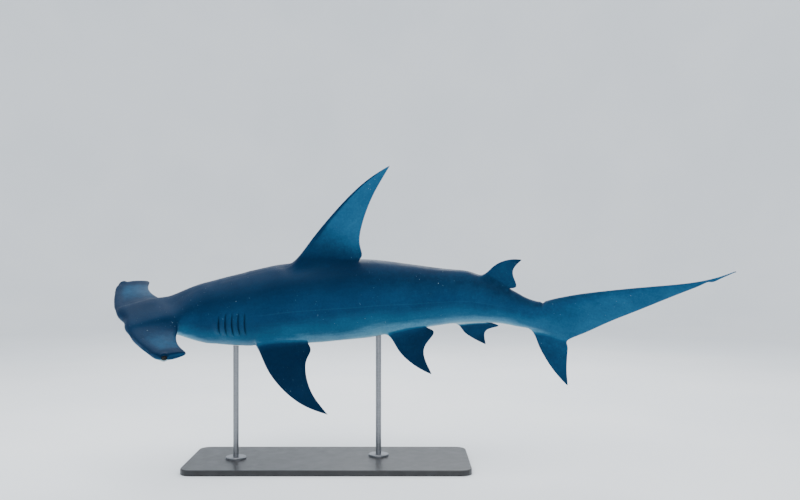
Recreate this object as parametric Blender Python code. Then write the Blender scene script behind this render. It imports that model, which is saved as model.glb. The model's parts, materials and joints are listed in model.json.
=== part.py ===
"""A great hammerhead shark, life size, in a gentle banked turn to its left, on a display stand.

The shark is drawn straight and upright first, in metres: x runs aft from the middle of the
hammer's front edge, y to the shark's right and z up from its spine. One quad cage holds the
body and all its fins. pose() bends and banks it, Subdivision Surface rounds it, and the
rounded skin is parted into the animal's named parts, each closed where it meets its neighbour.
"""

from collections import defaultdict
from math import cos, pi, radians, sin, sqrt

import bmesh
import bpy
from mathutils import Matrix, Vector
from mathutils.bvhtree import BVHTree

GAP = 0.0003
SHARP_ANGLE = 40
SKIN_COLOUR = (0.060, 0.105, 0.135)
PAIRED_FIN_COLOUR = (0.035, 0.060, 0.080)
EYE_COLOUR = (0.012, 0.012, 0.014)
BASE_COLOUR = (0.045, 0.045, 0.048)
ROD_COLOUR = (0.55, 0.56, 0.58)

# The snout's place above the middle of the underside of the stand's base, which is the origin.
SNOUT = Vector((-1.045, -0.250, 0.780))

# The stand: a slab, and two turned rods with a round foot at each rod's lower end.
BASE_SIZE = (1.50, 0.56, 0.030)
BASE_CORNER = 0.060
BASE_EDGE = 0.004
ROD_RADIUS = 0.015
ROD_FOOT_RADIUS = 0.055
ROD_FOOT_HEIGHT = 0.012
ROD_SIDES = 24
RODS = {"stand_rod_front": 0.600, "stand_rod_rear": 1.370}

# Round eyes in the ends of the hammer, each in a raised ring of lid.
EYE_RADIUS = 0.017
EYE_PLACE = (0.110, 0.364, -0.002)
GAZE_FORWARD = 12
LID_RADIUS = 0.0175
LID_THICKNESS = 0.0055
LID_RISE = 0.0085
LID_STRETCH = 1.12
EYE_SEGMENTS = 20

# The mouth: an arch under the head, with a lip on each side of its line.
MOUTH_FRONT = 0.180
MOUTH_LENGTH = 0.085
MOUTH_HALF_WIDTH = 0.104
MOUTH_LINE = 0.0050
LIP_RADIUS = 0.0085
LIP_SETBACK = 0.011

# Nostrils: slits in the hammer's front edge.
NOSTRIL_PLACE = (0.053, 0.300, -0.006)
NOSTRIL_SIZE = (0.012, 0.021, 0.0035)

# Five gill flaps a side, each raised at its rear edge over a slit.
GILL_REARS = (0.484, 0.520, 0.556, 0.591, 0.626)
GILL_HALF_ANGLES = (22, 25, 26, 25, 22)
GILL_MIDDLE = 98
GILL_LENGTH = 0.031
GILL_RISE = 0.0095
GILL_BOW = 0.012

COLUMNS = 16
HALF = COLUMNS // 2

# Stations of the body's rings along the spine. Each fin's root runs from one ring to another.
STATIONS = (
    0.030, 0.065, 0.110, 0.160, 0.215, 0.270, 0.340, 0.430,
    0.525, 0.595, 0.655, 0.690, 0.765, 0.840, 0.915, 0.970,
    1.040, 1.115, 1.190, 1.265, 1.340, 1.420, 1.485, 1.550,
    1.620, 1.720, 1.800, 1.860, 1.920, 1.965, 2.010, 2.055,
    2.110, 2.160, 2.228, 2.268, 2.310, 2.360, 2.420, 2.500,
    2.600, 2.710, 2.820, 2.910, 2.990, 3.065, 3.120,
)

# Station, half width, height of the back and depth of the belly, from the spine.
BODY = (
    (0.030, 0.125, 0.034, 0.030),
    (0.110, 0.126, 0.052, 0.042),
    (0.215, 0.128, 0.064, 0.062),
    (0.270, 0.126, 0.066, 0.090),
    (0.340, 0.126, 0.104, 0.142),
    (0.430, 0.138, 0.138, 0.188),
    (0.525, 0.158, 0.156, 0.212),
    (0.720, 0.182, 0.186, 0.244),
    (0.920, 0.194, 0.214, 0.250),
    (1.120, 0.194, 0.222, 0.240),
    (1.340, 0.176, 0.214, 0.222),
    (1.550, 0.150, 0.184, 0.188),
    (1.720, 0.126, 0.160, 0.154),
    (1.860, 0.104, 0.151, 0.136),
    (2.010, 0.080, 0.112, 0.112),
    (2.110, 0.062, 0.080, 0.102),
    (2.205, 0.050, 0.060, 0.098),
    (2.255, 0.043, 0.077, 0.094),
    (2.305, 0.034, 0.106, 0.094),
    (2.420, 0.023, 0.166, 0.096),
    (2.560, 0.016, 0.228, -0.030),
    (2.700, 0.013, 0.286, -0.146),
    (2.840, 0.010, 0.341, -0.262),
    (2.970, 0.007, 0.396, -0.366),
    (3.065, 0.005, 0.450, -0.436),
    (3.120, 0.003, 0.490, -0.484),
)

# Angle of each column of the cage round a ring, in degrees from the back to the belly.
COLUMN_ANGLES = (
    (0.030, (0, 13, 36, 62, 90, 121, 146, 167, 180)),
    (0.160, (0, 14, 40, 67, 91, 127, 147, 166, 180)),
    (0.270, (0, 14, 42, 70, 92, 121, 143, 166, 180)),
    (0.340, (0, 14, 42, 70, 92, 115, 140, 166, 180)),
    (0.690, (0, 10, 38, 72, 104, 129, 137, 145, 180)),
    (0.765, (0, 10, 38, 72, 104, 125, 137, 149, 180)),
    (0.915, (0, 10, 38, 72, 104, 126, 137, 148, 180)),
    (0.970, (0, 10, 38, 72, 104, 130, 137, 144, 180)),
    (1.420, (0, 12, 38, 68, 98, 135, 142, 149, 180)),
    (1.485, (0, 12, 38, 68, 98, 132, 142, 152, 180)),
    (1.550, (0, 12, 38, 68, 98, 132, 142, 152, 180)),
    (1.620, (0, 12, 38, 68, 98, 136, 142, 148, 180)),
    (1.800, (0, 12, 40, 66, 90, 114, 140, 167, 180)),
)
# Above 2 a section is fuller than an ellipse. The tail's sections are thickest near its top.
SQUARENESS = ((0.030, 3.4), (0.215, 3.2), (0.340, 2.4), (0.530, 2.1), (2.200, 2.0))
TAIL_START = 2.15
TAIL_BLEND = 0.30
TAIL_KEEL = 0.4
TAIL_TIP = 0.006

# The turn, in degrees along the spine: its heading, its rise towards the tail, and the bank.
YAW = ((0.00, 31), (0.20, 28.5), (0.45, 17), (0.80, 8), (1.20, 1), (1.60, -5), (2.00, -11),
       (2.40, -16), (3.12, -20))
PITCH = ((0.00, 8), (0.40, 6), (0.80, 4.5), (1.20, 1.5), (1.60, 0.5), (1.80, -3), (2.00, -11),
         (2.20, -15), (3.12, -15))
ROLL = ((0.00, 27.3), (0.50, 25.5), (1.00, 23), (1.60, 20), (2.20, 15), (3.12, 12))
SPINE_STEP = 0.01
SPINE_LENGTH = 3.4

# The hammer: front and rear edge of each half, as station at a distance from the midline.
HAMMER_FRONT = ((0.000, 0.012), (0.055, 0.000), (0.125, 0.004), (0.200, 0.019), (0.265, 0.037),
                (0.310, 0.055), (0.345, 0.066), (0.374, 0.097))
HAMMER_REAR = ((0.126, 0.270), (0.165, 0.250), (0.210, 0.228), (0.260, 0.216), (0.315, 0.217),
               (0.352, 0.230), (0.374, 0.232))
WING_BACK = 0.270
HAMMER_SPANS = (0.160, 0.205, 0.250, 0.292, 0.330, 0.358, 0.375)
HAMMER_THICK = ((0.126, 0.058), (0.205, 0.048), (0.300, 0.044), (0.350, 0.044), (0.375, 0.034))
HAMMER_MID = ((0.126, -0.004), (0.300, -0.006), (0.375, -0.004))
BROW_SETBACK = 0.022

# Fins. front and back name the rings of the root. apex and rear_tip are (station, span), and the
# edges are curves pulled towards their bow points.
FINS = {
    "first_dorsal_fin": dict(
        front=0.915, back=1.265, column=0, thickness=0.036, layers=6,
        rear_tip=(1.298, 0.018), apex=(1.448, 0.506),
        lead_bow=((1.062, 0.172), (1.256, 0.448)), trail_bow=((1.244, 0.096), (1.302, 0.290)),
    ),
    "second_dorsal_fin": dict(
        front=1.920, back=2.055, column=0, thickness=0.020, layers=4,
        rear_tip=(2.130, 0.010), apex=(2.088, 0.176),
        lead_bow=((1.960, 0.072), (2.015, 0.158)), trail_bow=((2.045, 0.050), (2.056, 0.120)),
    ),
    "anal_fin": dict(
        front=1.800, back=1.965, column=8, thickness=0.016, layers=4,
        rear_tip=(2.090, 0.013), apex=(1.985, 0.128),
        lead_bow=((1.832, 0.055), (1.900, 0.108)), trail_bow=((1.990, 0.020), (1.950, 0.055)),
    ),
    "caudal_fin_lower_lobe": dict(
        front=2.228, back=2.420, column=8, thickness=0.022, layers=5,
        rear_tip=(2.430, 0.020), apex=(2.478, 0.242),
        lead_bow=((2.286, 0.078), (2.366, 0.194)), trail_bow=((2.435, 0.060), (2.452, 0.150)),
    ),
    "pectoral_fin": dict(
        front=0.690, back=0.970, column=6, thickness=0.034, layers=6,
        rear_tip=(1.000, 0.035), apex=(1.062, 0.390),
        lead_bow=((0.722, 0.175), (0.850, 0.352)), trail_bow=((0.930, 0.100), (0.930, 0.250)),
    ),
    "pelvic_fin": dict(
        front=1.420, back=1.620, column=6, thickness=0.020, layers=4,
        rear_tip=(1.730, 0.016), apex=(1.660, 0.255),
        lead_bow=((1.462, 0.095), (1.555, 0.218)), trail_bow=((1.600, 0.060), (1.600, 0.150)),
    ),
}
# Share of the chord that each rounded edge of a fin takes, share of the span below which the rear
# edge stays at the free rear tip, chord of the tip, share of the thickness lost by the tip, and
# half thickness of the rear edge.
FIN_NOSE = 0.045
REAR_TIP_SHARE = 0.16
TIP_CHORD = 0.010
FIN_TAPER = 0.72
FIN_EDGE = 0.0012

# How far each paired fin points below level, in degrees in the shark's own frame.
DROOP = {"pectoral_fin_left": 45, "pectoral_fin_right": 24, "pelvic_fin_left": 52,
         "pelvic_fin_right": 38}

# Parts along the body, each with the ring where it ends.
SEGMENTS = (
    ("head", 0.430),
    ("gill_region", 0.655),
    ("torso_front", 1.340),
    ("torso_rear", 1.720),
    ("tail_stalk", 2.160),
    ("caudal_fin_upper_lobe", 3.120),
)


def from_table(table, x):
    """Smooth values at x through a table of rows: x, then the values or a tuple of them."""
    rows = [(row[0], row[1] if isinstance(row[1], tuple) else row[1:]) for row in table]
    if x <= rows[0][0]:
        return rows[0][1]
    if x >= rows[-1][0]:
        return rows[-1][1]
    k = max(i for i, row in enumerate(rows) if row[0] <= x)
    k = min(k, len(rows) - 2)
    (x0, a), (x1, b) = rows[k], rows[k + 1]
    before, after = rows[max(k - 1, 0)], rows[min(k + 2, len(rows) - 1)]
    t, width = (x - x0) / (x1 - x0), x1 - x0
    values = []
    for n in range(len(a)):
        slope_a = (b[n] - before[1][n]) / (x1 - before[0])
        slope_b = (after[1][n] - a[n]) / (after[0] - x0)
        values.append(
            (2 * t**3 - 3 * t**2 + 1) * a[n] + (t**3 - 2 * t**2 + t) * width * slope_a
            + (3 * t**2 - 2 * t**3) * b[n] + (t**3 - t**2) * width * slope_b
        )
    return tuple(values)


def value_at(table, x):
    return from_table(table, x)[0]


def spine_frames():
    """Position and axes of the posed spine at each step, walked from the snout to the tail."""
    frames, place = [], SNOUT.copy()
    for n in range(int(SPINE_LENGTH / SPINE_STEP) + 1):
        x = n * SPINE_STEP
        yaw, pitch, roll = (radians(value_at(t, x)) for t in (YAW, PITCH, ROLL))
        aft = Vector((cos(yaw) * cos(pitch), sin(yaw) * cos(pitch), sin(pitch)))
        level = Vector((-sin(yaw), cos(yaw), 0))
        rise = aft.cross(level)
        right = level * cos(roll) + rise * sin(roll)
        up = rise * cos(roll) - level * sin(roll)
        frames.append((place.copy(), aft, right, up))
        place += aft * SPINE_STEP
    return frames


FRAMES = spine_frames()


def pose(point):
    """The posed place of a point of the straight shark."""
    x, y, z = point
    at = max(0.0, x) / SPINE_STEP
    k = min(int(at), len(FRAMES) - 2)
    part = at - k
    place, aft, right, up = (a.lerp(b, part) for a, b in zip(FRAMES[k], FRAMES[k + 1]))
    return place + aft * min(0.0, x) + right * y + up * z


def section(x, angle):
    """Point of the body's outline in the section at x, at an angle from the back towards the right."""
    width, back, belly = from_table(BODY, x)
    power = 2 / value_at(SQUARENESS, x)
    side, height = sin(angle), cos(angle)
    if x > TAIL_START:
        fullness = 1 + TAIL_KEEL * height * min(1.0, (x - TAIL_START) / TAIL_BLEND)
        return width * fullness * side, (back - belly) / 2 + (back + belly) / 2 * height
    y = width * abs(side) ** power * (1 if side >= 0 else -1)
    z = (back if height >= 0 else belly) * abs(height) ** power * (1 if height >= 0 else -1)
    return y, z


def ring_point(index, column):
    """Cage point on a ring. Ring 0 follows the hammer's front edge."""
    x = STATIONS[index]
    turn = column if column <= HALF else COLUMNS - column
    degrees = from_table(COLUMN_ANGLES, x)[turn]
    y, z = section(x, radians(degrees))
    if column > HALF:
        y = -y
    if index == 0:
        x = value_at(HAMMER_FRONT, abs(y)) + (0 if turn == HALF // 2 else BROW_SETBACK)
    return Vector((x, y, z))


def bezier(points, t):
    """Point on the curve of four control points."""
    a, b, c, d = (Vector(p) for p in points)
    return a * (1 - t) ** 3 + b * 3 * t * (1 - t) ** 2 + c * 3 * t * t * (1 - t) + d * t**3


def fin_profile(chord):
    """Half thickness of a fin section, 1 at its fullest, from front edge 0 to rear edge 1."""
    return 1.87 * sqrt(max(chord, 0)) * (1 - chord) ** 1.1 + 0.07 * chord


def fin_point(fin, root, layer, chord, side):
    """Point of a fin in the straight shark. root gives its base points, outward axis and normal."""
    base_front, base_back, out, normal = root
    share = (layer / fin["layers"]) ** 0.92
    start = (fin["front"] + 0.010, 0.018)
    lead = bezier((start, *fin["lead_bow"], fin["apex"]), share)
    trail_share = max(0.0, (share - REAR_TIP_SHARE) / (1 - REAR_TIP_SHARE))
    trail = bezier((fin["rear_tip"], *fin["trail_bow"], fin["apex"]), trail_share)
    if layer == fin["layers"]:
        lead -= Vector((TIP_CHORD, TIP_CHORD * 0.4))
        trail += Vector((TIP_CHORD * 0.2, 0))
    at = lead.lerp(trail, chord)
    along = (at.x - fin["front"]) / (fin["back"] - fin["front"])
    base = base_front.lerp(base_back, along)
    half = fin["thickness"] / 2 * (1 - FIN_TAPER * share) * fin_profile(chord) + FIN_EDGE
    spot = base + out * at.y + normal * (half * side)
    return Vector((at.x, spot.x, spot.y))


def hammer_point(layer, chord, side, mirror):
    """Point of one half of the hammer, which is a wing whose sections run front to back."""
    span = HAMMER_SPANS[layer - 1]
    front, rear = value_at(HAMMER_FRONT, span), value_at(HAMMER_REAR, span)
    thick, mid = value_at(HAMMER_THICK, span), value_at(HAMMER_MID, span)
    x = front + (rear - front) * chord
    z = mid + side * thick / 2 * (1 - 0.45 * abs(2 * chord - 0.8) ** 2.2)
    return Vector((x, span * mirror, z))


class Cage:
    """The quad mesh that the skin is rounded from. Each face's material is its part."""

    def __init__(self, parts):
        self.bm = bmesh.new()
        self.parts = parts
        self.open_faces = set()
        self.rings = [
            [self.bm.verts.new(ring_point(i, j)) for j in range(COLUMNS)] for i in range(len(STATIONS))
        ]

    def face(self, corners, part):
        face = self.bm.faces.new(corners)
        face.material_index = self.parts.index(part)
        face.smooth = True

    def body(self):
        """The quads between the rings, apart from those where a fin grows."""
        for i in range(len(STATIONS) - 1):
            part = next(name for name, end in SEGMENTS if STATIONS[i + 1] <= end + 1e-6)
            for j in range(COLUMNS):
                if (i, j) not in self.open_faces:
                    k = (j + 1) % COLUMNS
                    low, high = self.rings[i], self.rings[i + 1]
                    self.face((low[j], low[k], high[k], high[j]), part)

    def close_end(self, ring, column, place, part):
        """Closes an end ring along a ridge that joins its points at column and across from it."""
        loop = [ring[(column + k) % COLUMNS] for k in range(COLUMNS)]
        middles = {k: (loop[k].co + loop[-k].co) / 2 for k in range(2, HALF - 1)}
        ridge = {k: self.bm.verts.new(place(middle)) for k, middle in middles.items()}
        for side in (1, -1):
            self.face((loop[0], loop[side], loop[2 * side], ridge[2]), part)
            for k in range(2, HALF - 2):
                self.face((ridge[k], loop[k * side], loop[(k + 1) * side], ridge[k + 1]), part)
            last = [loop[(HALF - k) * side] for k in (2, 1)]
            self.face((ridge[HALF - 2], *last, loop[HALF]), part)
        return list(ridge.values())

    def grow(self, first, last, column, layers, place, part):
        """Grows a fin from the two rows of quads beside a column, from ring first to ring last."""
        steps = range(first, last + 1)
        sides = {-1: (column - 1) % COLUMNS, 0: column, 1: (column + 1) % COLUMNS}
        below = {(i, s): self.rings[i][sides[s]] for i in steps for s in sides}
        for layer in range(1, layers + 1):
            above = {}
            for i in steps:
                part_way = (i - first) / (last - first)
                chord = FIN_NOSE + (1 - 2 * FIN_NOSE) * part_way
                for s in sides:
                    edge = s == 0 and i in (first, last)
                    if s or edge or layer == layers:
                        above[i, s] = self.bm.verts.new(place(layer, part_way if edge else chord, s))
            loop = [(first, 0)] + [(i, 1) for i in steps] + [(last, 0)] + [(i, -1) for i in reversed(steps)]
            for a, b in zip(loop, loop[1:] + loop[:1]):
                self.face((below[a], below[b], above[b], above[a]), part)
            below = above
        for i in range(first, last):
            for s in (-1, 1):
                self.face((below[i, 0], below[i + 1, 0], below[i + 1, s], below[i, s]), part)
        return list(below.values())

    def reserve(self, first, last, column):
        for i in range(first, last):
            self.open_faces |= {(i, column), (i, (column - 1) % COLUMNS)}


def ring_of(station):
    return STATIONS.index(station)


def fin_root(fin, column, droop):
    """Base points of a fin's root, its outward axis and its normal, in the section's (y, z)."""
    mirror = -1 if column > HALF else 1
    ends = [Vector(ring_point(ring_of(fin[key]), column).yz) for key in ("front", "back")]
    if column in (0, HALF):
        up = 1 if column == 0 else -1
        return ends[0], ends[1], Vector((0, up)), Vector((up, 0))
    out = Vector((mirror * cos(radians(droop)), -sin(radians(droop))))
    return ends[0], ends[1], out, Vector((out.y, -out.x))


def limit_point(vert):
    """Where the subdivided surface ends up for a vertex of an all-quad mesh."""
    n = len(vert.link_edges)
    edges = sum((e.other_vert(vert).co for e in vert.link_edges), Vector())
    across = Vector()
    for face in vert.link_faces:
        corners = list(face.verts)
        across += corners[(corners.index(vert) + 2) % 4].co
    return (vert.co * n * n + edges * 4 + across) / (n * (n + 5))


def fit_cage(bm, tips, rounds=2):
    """Moves the cage outwards, so that the rounded skin passes through its designed points.

    Each tip moves as one, because its points lie too close together to part.
    """
    targets = {v: v.co.copy() for v in bm.verts}
    for _ in range(rounds):
        moves = {v: targets[v] - limit_point(v) for v in bm.verts}
        for tip in tips:
            together = sum((moves[v] for v in tip), Vector()) / len(tip)
            moves.update((v, together) for v in tip)
        for v, move in moves.items():
            v.co += move


def fin_growth():
    """Each fin as it grows: name, sizes, first and last ring, column and droop."""
    growth = []
    for name, fin in FINS.items():
        first, last = ring_of(fin["front"]), ring_of(fin["back"])
        if fin["column"] in (0, HALF):
            growth.append((name, fin, first, last, fin["column"], 0))
            continue
        for side, column in (("_right", fin["column"]), ("_left", COLUMNS - fin["column"])):
            growth.append((name + side, fin, first, last, column, DROOP[name + side]))
    return growth


def build_cage():
    """The whole shark as one posed quad mesh, with the borders between its parts."""
    growth = fin_growth()
    names = [name for name, _ in SEGMENTS] + [fin[0] for fin in growth]
    cage = Cage(names)
    wing_last = ring_of(WING_BACK)
    wings = ((HALF // 2, 1), (COLUMNS - HALF // 2, -1))
    for column, _ in wings:
        cage.reserve(0, wing_last, column)
    for _, _, first, last, column, _ in growth:
        cage.reserve(first, last, column)
    cage.body()
    cage.close_end(
        cage.rings[0], HALF // 2,
        lambda p: Vector((value_at(HAMMER_FRONT, abs(p.y)), p.y, p.z / 2)), names[0],
    )
    ridge = cage.close_end(cage.rings[-1], 0, lambda p: p + Vector((TAIL_TIP, 0, 0)), SEGMENTS[-1][0])
    tips = [cage.rings[-1] + ridge]
    for column, mirror in wings:
        cage.grow(
            0, wing_last, column, len(HAMMER_SPANS),
            lambda layer, chord, side, m=mirror: hammer_point(layer, chord, -side * m, m), names[0],
        )
    for name, fin, first, last, column, droop in growth:
        root = fin_root(fin, column, droop)
        tips.append(cage.grow(
            first, last, column, fin["layers"],
            lambda layer, chord, side, f=fin, r=root: fin_point(f, r, layer, chord, side), name,
        ))
    under_roots = [v for v in cage.bm.verts if not v.link_faces]
    bmesh.ops.delete(cage.bm, geom=under_roots, context="VERTS")
    cage.bm.verts.index_update()
    borders = []
    for (name, end), (after, _) in zip(SEGMENTS, SEGMENTS[1:]):
        place, aft = pose((end, 0, 0)), pose((end + SPINE_STEP, 0, 0))
        start = cage.rings[ring_of(end)][0].index
        borders.append((name, after, start, (aft - place).normalized()))
    for name, fin, first, last, column, droop in growth:
        segment = next(part for part, end in SEGMENTS if fin["back"] <= end)
        out = fin_root(fin, column, droop)[2]
        middle = (fin["front"] + fin["back"]) / 2
        up = pose((middle, out.x, out.y)) - pose((middle, 0, 0))
        borders.append((segment, name, cage.rings[first][column].index, up.normalized()))
    for v in cage.bm.verts:
        v.co = pose(v.co)
    fit_cage(cage.bm, tips)
    bmesh.ops.recalc_face_normals(cage.bm, faces=cage.bm.faces)
    return cage.bm, names, borders


def clear_scene():
    for item in list(bpy.data.objects):
        bpy.data.objects.remove(item)


def link(name, bm):
    """A new object from a bmesh."""
    mesh = bpy.data.meshes.new(name)
    bm.to_mesh(mesh)
    bm.free()
    item = bpy.data.objects.new(name, mesh)
    bpy.context.scene.collection.objects.link(item)
    return item


def apply_modifiers(item):
    """Replaces an object's mesh by its evaluated one."""
    evaluated = item.evaluated_get(bpy.context.evaluated_depsgraph_get())
    mesh = bpy.data.meshes.new_from_object(evaluated)
    item.modifiers.clear()
    item.data = mesh


def round_skin(bm):
    """The cage rounded once. Its first vertices are the cage's own, in order."""
    cage = link("cage", bm)
    rounding = cage.modifiers.new("rounding", "SUBSURF")
    rounding.levels = rounding.render_levels = 1
    apply_modifiers(cage)
    skin = bmesh.new()
    skin.from_mesh(cage.data)
    skin.verts.ensure_lookup_table()
    bpy.data.objects.remove(cage)
    return skin


def border_loop(skin, pair, start):
    """Vertices round the border of two parts, from its start."""
    beside = defaultdict(list)
    for edge in skin.edges:
        if {face.material_index for face in edge.link_faces} == pair:
            a, b = (v.index for v in edge.verts)
            beside[a].append(b)
            beside[b].append(a)
    loop = [start]
    while True:
        onward = [v for v in beside[loop[-1]] if v not in loop]
        if not onward:
            return loop
        loop.append(onward[0])


def strip(loop):
    """Triangles that close a loop: a fan at its start and at the vertex opposite, rungs between."""
    half = len(loop) // 2
    triangles = []
    for end in (0, half):
        near = [loop[(end + k) % len(loop)] for k in (-2, -1, 1, 2)]
        triangles.append((loop[end], near[0], near[1]))
        triangles.append((loop[end], near[0], near[3]))
        triangles.append((loop[end], near[2], near[3]))
    for k in range(2, half - 2):
        triangles.append((loop[k], loop[k + 1], loop[-k - 1]))
        triangles.append((loop[k], loop[-k - 1], loop[-k]))
    return triangles


def cut_part(skin, names, name, borders):
    """One part of the skin as a closed object, with its gap to the part that it grows from."""
    part, shift, loops = names.index(name), {}, []
    for owner, grown, start, outward in borders:
        if name in (owner, grown):
            loop = border_loop(skin, {names.index(owner), names.index(grown)}, start)
            loops.append(loop)
            middle = sum((skin.verts[v].co for v in loop), Vector()) / len(loop)
            for v in loop if name == grown else ():
                shift[v] = (outward + (middle - skin.verts[v].co).normalized()) * GAP
    bm, copies = bmesh.new(), {}

    def copy(index):
        if index not in copies:
            copies[index] = bm.verts.new(skin.verts[index].co + shift.get(index, Vector()))
        return copies[index]

    for face in skin.faces:
        if face.material_index == part:
            bm.faces.new([copy(v.index) for v in face.verts])
    for loop in loops:
        for corners in strip(loop):
            bm.faces.new([copy(index) for index in corners])
    bmesh.ops.triangulate(bm, faces=bm.faces, quad_method="SHORT_EDGE")
    bmesh.ops.recalc_face_normals(bm, faces=bm.faces)
    return link(name, bm)


def keep_largest(item):
    """Drops all but the largest closed surface of an object."""
    bm = bmesh.new()
    bm.from_mesh(item.data)
    left, islands = set(bm.verts), []
    while left:
        island, open_verts = set(), [left.pop()]
        while open_verts:
            v = open_verts.pop()
            island.add(v)
            near = {e.other_vert(v) for e in v.link_edges} & left
            left -= near
            open_verts += near
        islands.append(island)
    largest = max(islands, key=len)
    scraps = [v for v in bm.verts if v not in largest]
    bmesh.ops.delete(bm, geom=scraps, context="VERTS")
    bm.to_mesh(item.data)
    bm.free()


def combine(item, pieces, operation):
    """Joins or cuts an object with closed pieces, which are then removed."""
    group = bpy.data.collections.new(item.name + "_pieces")
    for piece in pieces:
        group.objects.link(piece)
    change = item.modifiers.new("change", "BOOLEAN")
    change.operand_type = "COLLECTION"
    change.collection = group
    change.operation = operation
    change.solver = "EXACT"
    apply_modifiers(item)
    for piece in pieces:
        bpy.data.objects.remove(piece)
    bpy.data.collections.remove(group)
    keep_largest(item)


def on_skin(tree, start, end):
    """Where a line from start to end in the straight shark meets the posed skin, and the way back."""
    a, b = pose(start), pose(end)
    place, _, _, _ = tree.ray_cast(a, (b - a).normalized())
    return place, (a - b).normalized()


def frame_at(x, y, z):
    """Matrix that sets a piece at a point of the straight shark, turned with it."""
    at = pose((x, y, z))
    k = int(x / SPINE_STEP)
    _, aft, right, up = FRAMES[k]
    return Matrix.Translation(at) @ Matrix((aft, right, up)).transposed().to_4x4()


def ball(name, place, radii, segments, rings):
    """An ellipsoid at a point of the straight shark, its poles to left and right."""
    bm = bmesh.new()
    turn = Matrix.Rotation(pi / 2, 4, "X")
    size = Matrix.Diagonal((*radii, 1))
    bmesh.ops.create_uvsphere(
        bm, u_segments=segments, v_segments=rings, radius=1, matrix=size @ turn,
    )
    item = link(name, bm)
    item.matrix_world = frame_at(*place)
    return item


def tube(name, rows):
    """A closed tube through rows of points."""
    bm = bmesh.new()
    loops = [[bm.verts.new(p) for p in row] for row in rows]
    for low, high in zip(loops, loops[1:]):
        for k in range(len(low)):
            m = (k + 1) % len(low)
            bm.faces.new((low[k], low[m], high[m], high[k]))
    bm.faces.new(loops[0])
    bm.faces.new(loops[-1])
    bmesh.ops.recalc_face_normals(bm, faces=bm.faces)
    return link(name, bm)


def lid_ring(side):
    """The raised ring of lid round an eye."""
    x, y, z = EYE_PLACE
    gaze = Matrix.Rotation(radians(side * GAZE_FORWARD), 3, "Z")
    rows = []
    for n in range(EYE_SEGMENTS):
        turn = 2 * pi * n / EYE_SEGMENTS
        row = []
        for m in range(6):
            around = 2 * pi * m / 6
            reach = LID_RADIUS + LID_THICKNESS * cos(around)
            lift = side * (LID_RISE + LID_THICKNESS * sin(around))
            spot = gaze @ Vector((LID_STRETCH * reach * cos(turn), lift, reach * sin(turn)))
            row.append(pose(Vector((x, side * y, z)) + spot))
        rows.append(row)
    bm = bmesh.new()
    loops = [[bm.verts.new(p) for p in row] for row in rows]
    for low, high in zip(loops, loops[1:] + loops[:1]):
        for k in range(6):
            m = (k + 1) % 6
            bm.faces.new((low[k], low[m], high[m], high[k]))
    bmesh.ops.recalc_face_normals(bm, faces=bm.faces)
    return link("lid", bm)


def mouth_tube(name, tree, setback, radius, sink, reach):
    """A tube that follows the arch of the mouth, tapered at both corners."""
    steps, sides, rows = 18, 6, []
    for n in range(steps + 1):
        along = (2 * n / steps - 1) * reach
        x = MOUTH_FRONT + setback + MOUTH_LENGTH * abs(along) ** 2.2
        y = MOUTH_HALF_WIDTH * sin(along * pi / 2)
        place, outward = on_skin(tree, (x, y, -0.5), (x, y, 0))
        middle = place - outward * sink
        ahead = min(along + 0.02, reach)
        onward = Vector((MOUTH_LENGTH * (abs(ahead) ** 2.2 - abs(ahead - 0.04) ** 2.2),
                         MOUTH_HALF_WIDTH * (sin(ahead * pi / 2) - sin((ahead - 0.04) * pi / 2)), 0))
        course = (pose((x + onward.x, y + onward.y, 0)) - pose((x, y, 0))).normalized()
        across = course.cross(outward).normalized()
        size = radius * (1 - 0.6 * abs(along) ** 4)
        rows.append([
            middle + (across * cos(2 * pi * k / sides) + outward * sin(2 * pi * k / sides)) * size
            for k in range(sides)
        ])
    return tube(name, rows)


def gill_flap(tree, rear, half_angle, side):
    """A flap whose front sinks into the skin and whose rear edge stands proud over its slit."""
    steps, rows = 8, []
    for n in range(steps + 1):
        along = 2 * n / steps - 1
        angle = radians(GILL_MIDDLE + half_angle * along) * side
        fade = 1 - along**2
        edge = rear + GILL_BOW * along**2
        row = []
        for x, lift in (
            (edge - GILL_LENGTH, -0.004),
            (edge, GILL_RISE * fade - 0.001),
            (edge - 0.004, -0.008),
        ):
            place, outward = on_skin(tree, (x, sin(angle), cos(angle)), (x, 0, 0))
            row.append(place + outward * lift)
        rows.append(row)
    return tube("flap", rows)


def stand_base():
    """A slab with rounded corners and softened edges."""
    length, width, height = BASE_SIZE
    bm = bmesh.new()
    bmesh.ops.create_cube(bm, size=1)
    bmesh.ops.scale(bm, verts=bm.verts, vec=BASE_SIZE)
    bmesh.ops.translate(bm, verts=bm.verts, vec=(0, 0, height / 2))
    upright = [e for e in bm.edges if abs(e.verts[0].co.z - e.verts[1].co.z) > height / 2]
    bmesh.ops.bevel(bm, geom=upright, offset=BASE_CORNER, segments=6, profile=0.5, affect="EDGES")
    rim = [e for e in bm.edges if min(v.co.z for v in e.verts) > height - GAP]
    bmesh.ops.bevel(bm, geom=rim, offset=BASE_EDGE, segments=2, profile=0.5, affect="EDGES")
    return link("stand_base", bm)


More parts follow.
